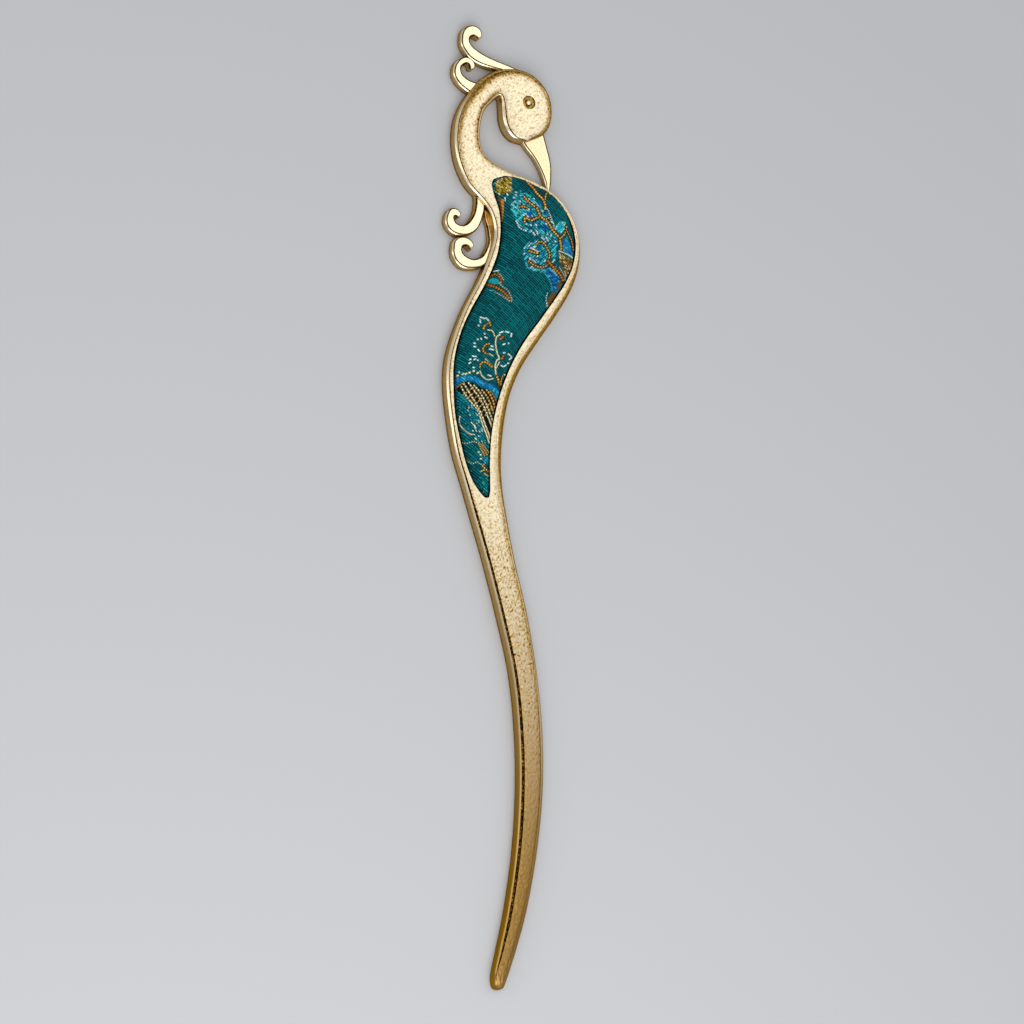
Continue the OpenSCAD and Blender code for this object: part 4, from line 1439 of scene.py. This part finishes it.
# %% Add the woven picture and the painted shade in the fold
# The rows of the twill show through the picture, and the fold at the sides gets painted shade, nearly black.
stitched = add(brocade, "ShaderNodeAttribute", {"attribute_name": "woven"})
stitch_rows = add(brocade, "ShaderNodeMapRange",
    {"From Min": 0, "From Max": 1, "To Min": 1, "To Max": 0.45}, {"Value": twill.outputs["Fac"]})
stitch_colour = add(brocade, "ShaderNodeVectorMath", {"operation": "SCALE"},
    {0: stitched.outputs["Color"], "Scale": stitch_rows.outputs[0]})
cloth_colour = add(brocade, "ShaderNodeMix", {"data_type": "RGBA"},
    {0: stitched.outputs["Alpha"], MIX_A: twill.outputs["Color"], MIX_B: stitch_colour.outputs[0]})
fold_shade_marks = add(brocade, "ShaderNodeUVMap", {"uv_map": "marks"})
fold_shade_share = add(brocade, "ShaderNodeSeparateXYZ", links={"Vector": fold_shade_marks.outputs["UV"]})
painted_fold_shade = add(brocade, "ShaderNodeMix", {"data_type": "RGBA", MIX_B: linear("#000808")},
    {0: fold_shade_share.outputs["X"], MIX_A: cloth_colour.outputs[MIX_OUT]})

# %% Give the silk its gloss
# The bump is 0.08 mm high, which is the thickness of a thread.
threads_up = add(brocade, "ShaderNodeMapRange", {"To Min": 1, "To Max": 0}, {"Value": twill.outputs["Fac"]})
weave_bump = add(brocade, "ShaderNodeBump", {"Strength": 0.5, "Distance": 0.08 * MM},
    {"Height": threads_up.outputs[0]})
silk = add(brocade, "ShaderNodeBsdfPrincipled", {"Roughness": 0.7, "Specular IOR Level": 0.06},
    {"Base Color": painted_fold_shade.outputs[MIX_OUT], "Normal": weave_bump.outputs[0]})
add(brocade, "ShaderNodeOutputMaterial", links={"Surface": silk.outputs[0]})
panel.data.materials.clear()
panel.data.materials.append(brocade)
print("nodes of the silk:", len(brocade.node_tree.nodes))

# %% [markdown]
# ## Floor and light
#
# The photograph was taken in a studio, on a pale plain ground. Matt paper catches the soft shadow of the
# stick and has no shine of its own. Metal shows what it mirrors, so the lights are large soft boxes: the
# key light at the upper right, a tall narrow one at the left that draws the bright line along the left
# edge, and one in front that lights the shaft. A pale world fills the shadows.

# %% Lay the floor
bpy.ops.mesh.primitive_plane_add(size=6, location=(0, 0, 0))
floor = bpy.context.object
floor.name = "floor"
paper = new_material("pale_paper")
matt = add(paper, "ShaderNodeBsdfDiffuse", {"Color": linear("#b5b6b8")})
add(paper, "ShaderNodeOutputMaterial", links={"Surface": matt.outputs[0]})
floor.data.materials.append(paper)
floor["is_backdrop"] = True
print("width of the floor in m:", floor.dimensions.x)


# %% Hang the lights
def softbox(name, place, aim, wide, high, power):
    """A soft rectangular light that faces a point. Places and sizes are in millimetres."""
    data = bpy.data.lights.new(name, "AREA")
    data.shape = "RECTANGLE"
    data.size = wide * MM
    data.size_y = high * MM
    data.energy = power
    lamp = bpy.data.objects.new(name, data)
    bpy.context.scene.collection.objects.link(lamp)
    lamp.location = Vector(place) * MM
    lamp.rotation_euler = (Vector(aim) - Vector(place)).to_track_quat("-Z", "Y").to_euler()


softbox("key", (290, 320, 640), (0, 40, 0), 460, 520, 0.83)
softbox("left", (-420, 100, 520), (0, 20, 0), 150, 900, 0.65)
softbox("front", (-60, -260, 300), (0, -60, 0), 340, 260, 0.95)
print("power of the lights in W:", [round(lamp.energy, 2) for lamp in bpy.data.lights])

# %% Light the room
# A pale room, a little cooler than the lights. The plain view transform keeps the colours as they are.
ROOM_COLOUR = (0.97, 0.98, 1, 1)
ROOM_STRENGTH = 0.66
world = bpy.data.worlds.new("studio")
world.use_nodes = True
world.node_tree.nodes["Background"].inputs["Color"].default_value = ROOM_COLOUR
world.node_tree.nodes["Background"].inputs["Strength"].default_value = ROOM_STRENGTH
bpy.context.scene.world = world
bpy.context.scene.view_settings.view_transform = "Standard"
print("strength of the room:", ROOM_STRENGTH)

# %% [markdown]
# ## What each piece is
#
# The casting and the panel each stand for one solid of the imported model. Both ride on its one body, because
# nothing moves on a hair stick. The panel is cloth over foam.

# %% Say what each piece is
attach(body, "root")
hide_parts("cast_stick")
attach(panel, "root")
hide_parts("brocade_panel")
print("pieces:", body.name, "and", panel.name)

# %% [markdown]
# ## The two sizes
#
# The finished pieces have to be as large as the imported model says. Both boxes are printed, so that
# they can be compared after each run.

# %% Print both sizes and finish
box_of_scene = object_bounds()
for name, box in (("solids", box_of_solids), ("scene", box_of_scene)):
    print(name, "in mm:", [round(v / MM, 2) for v in box[1] - box[0]])
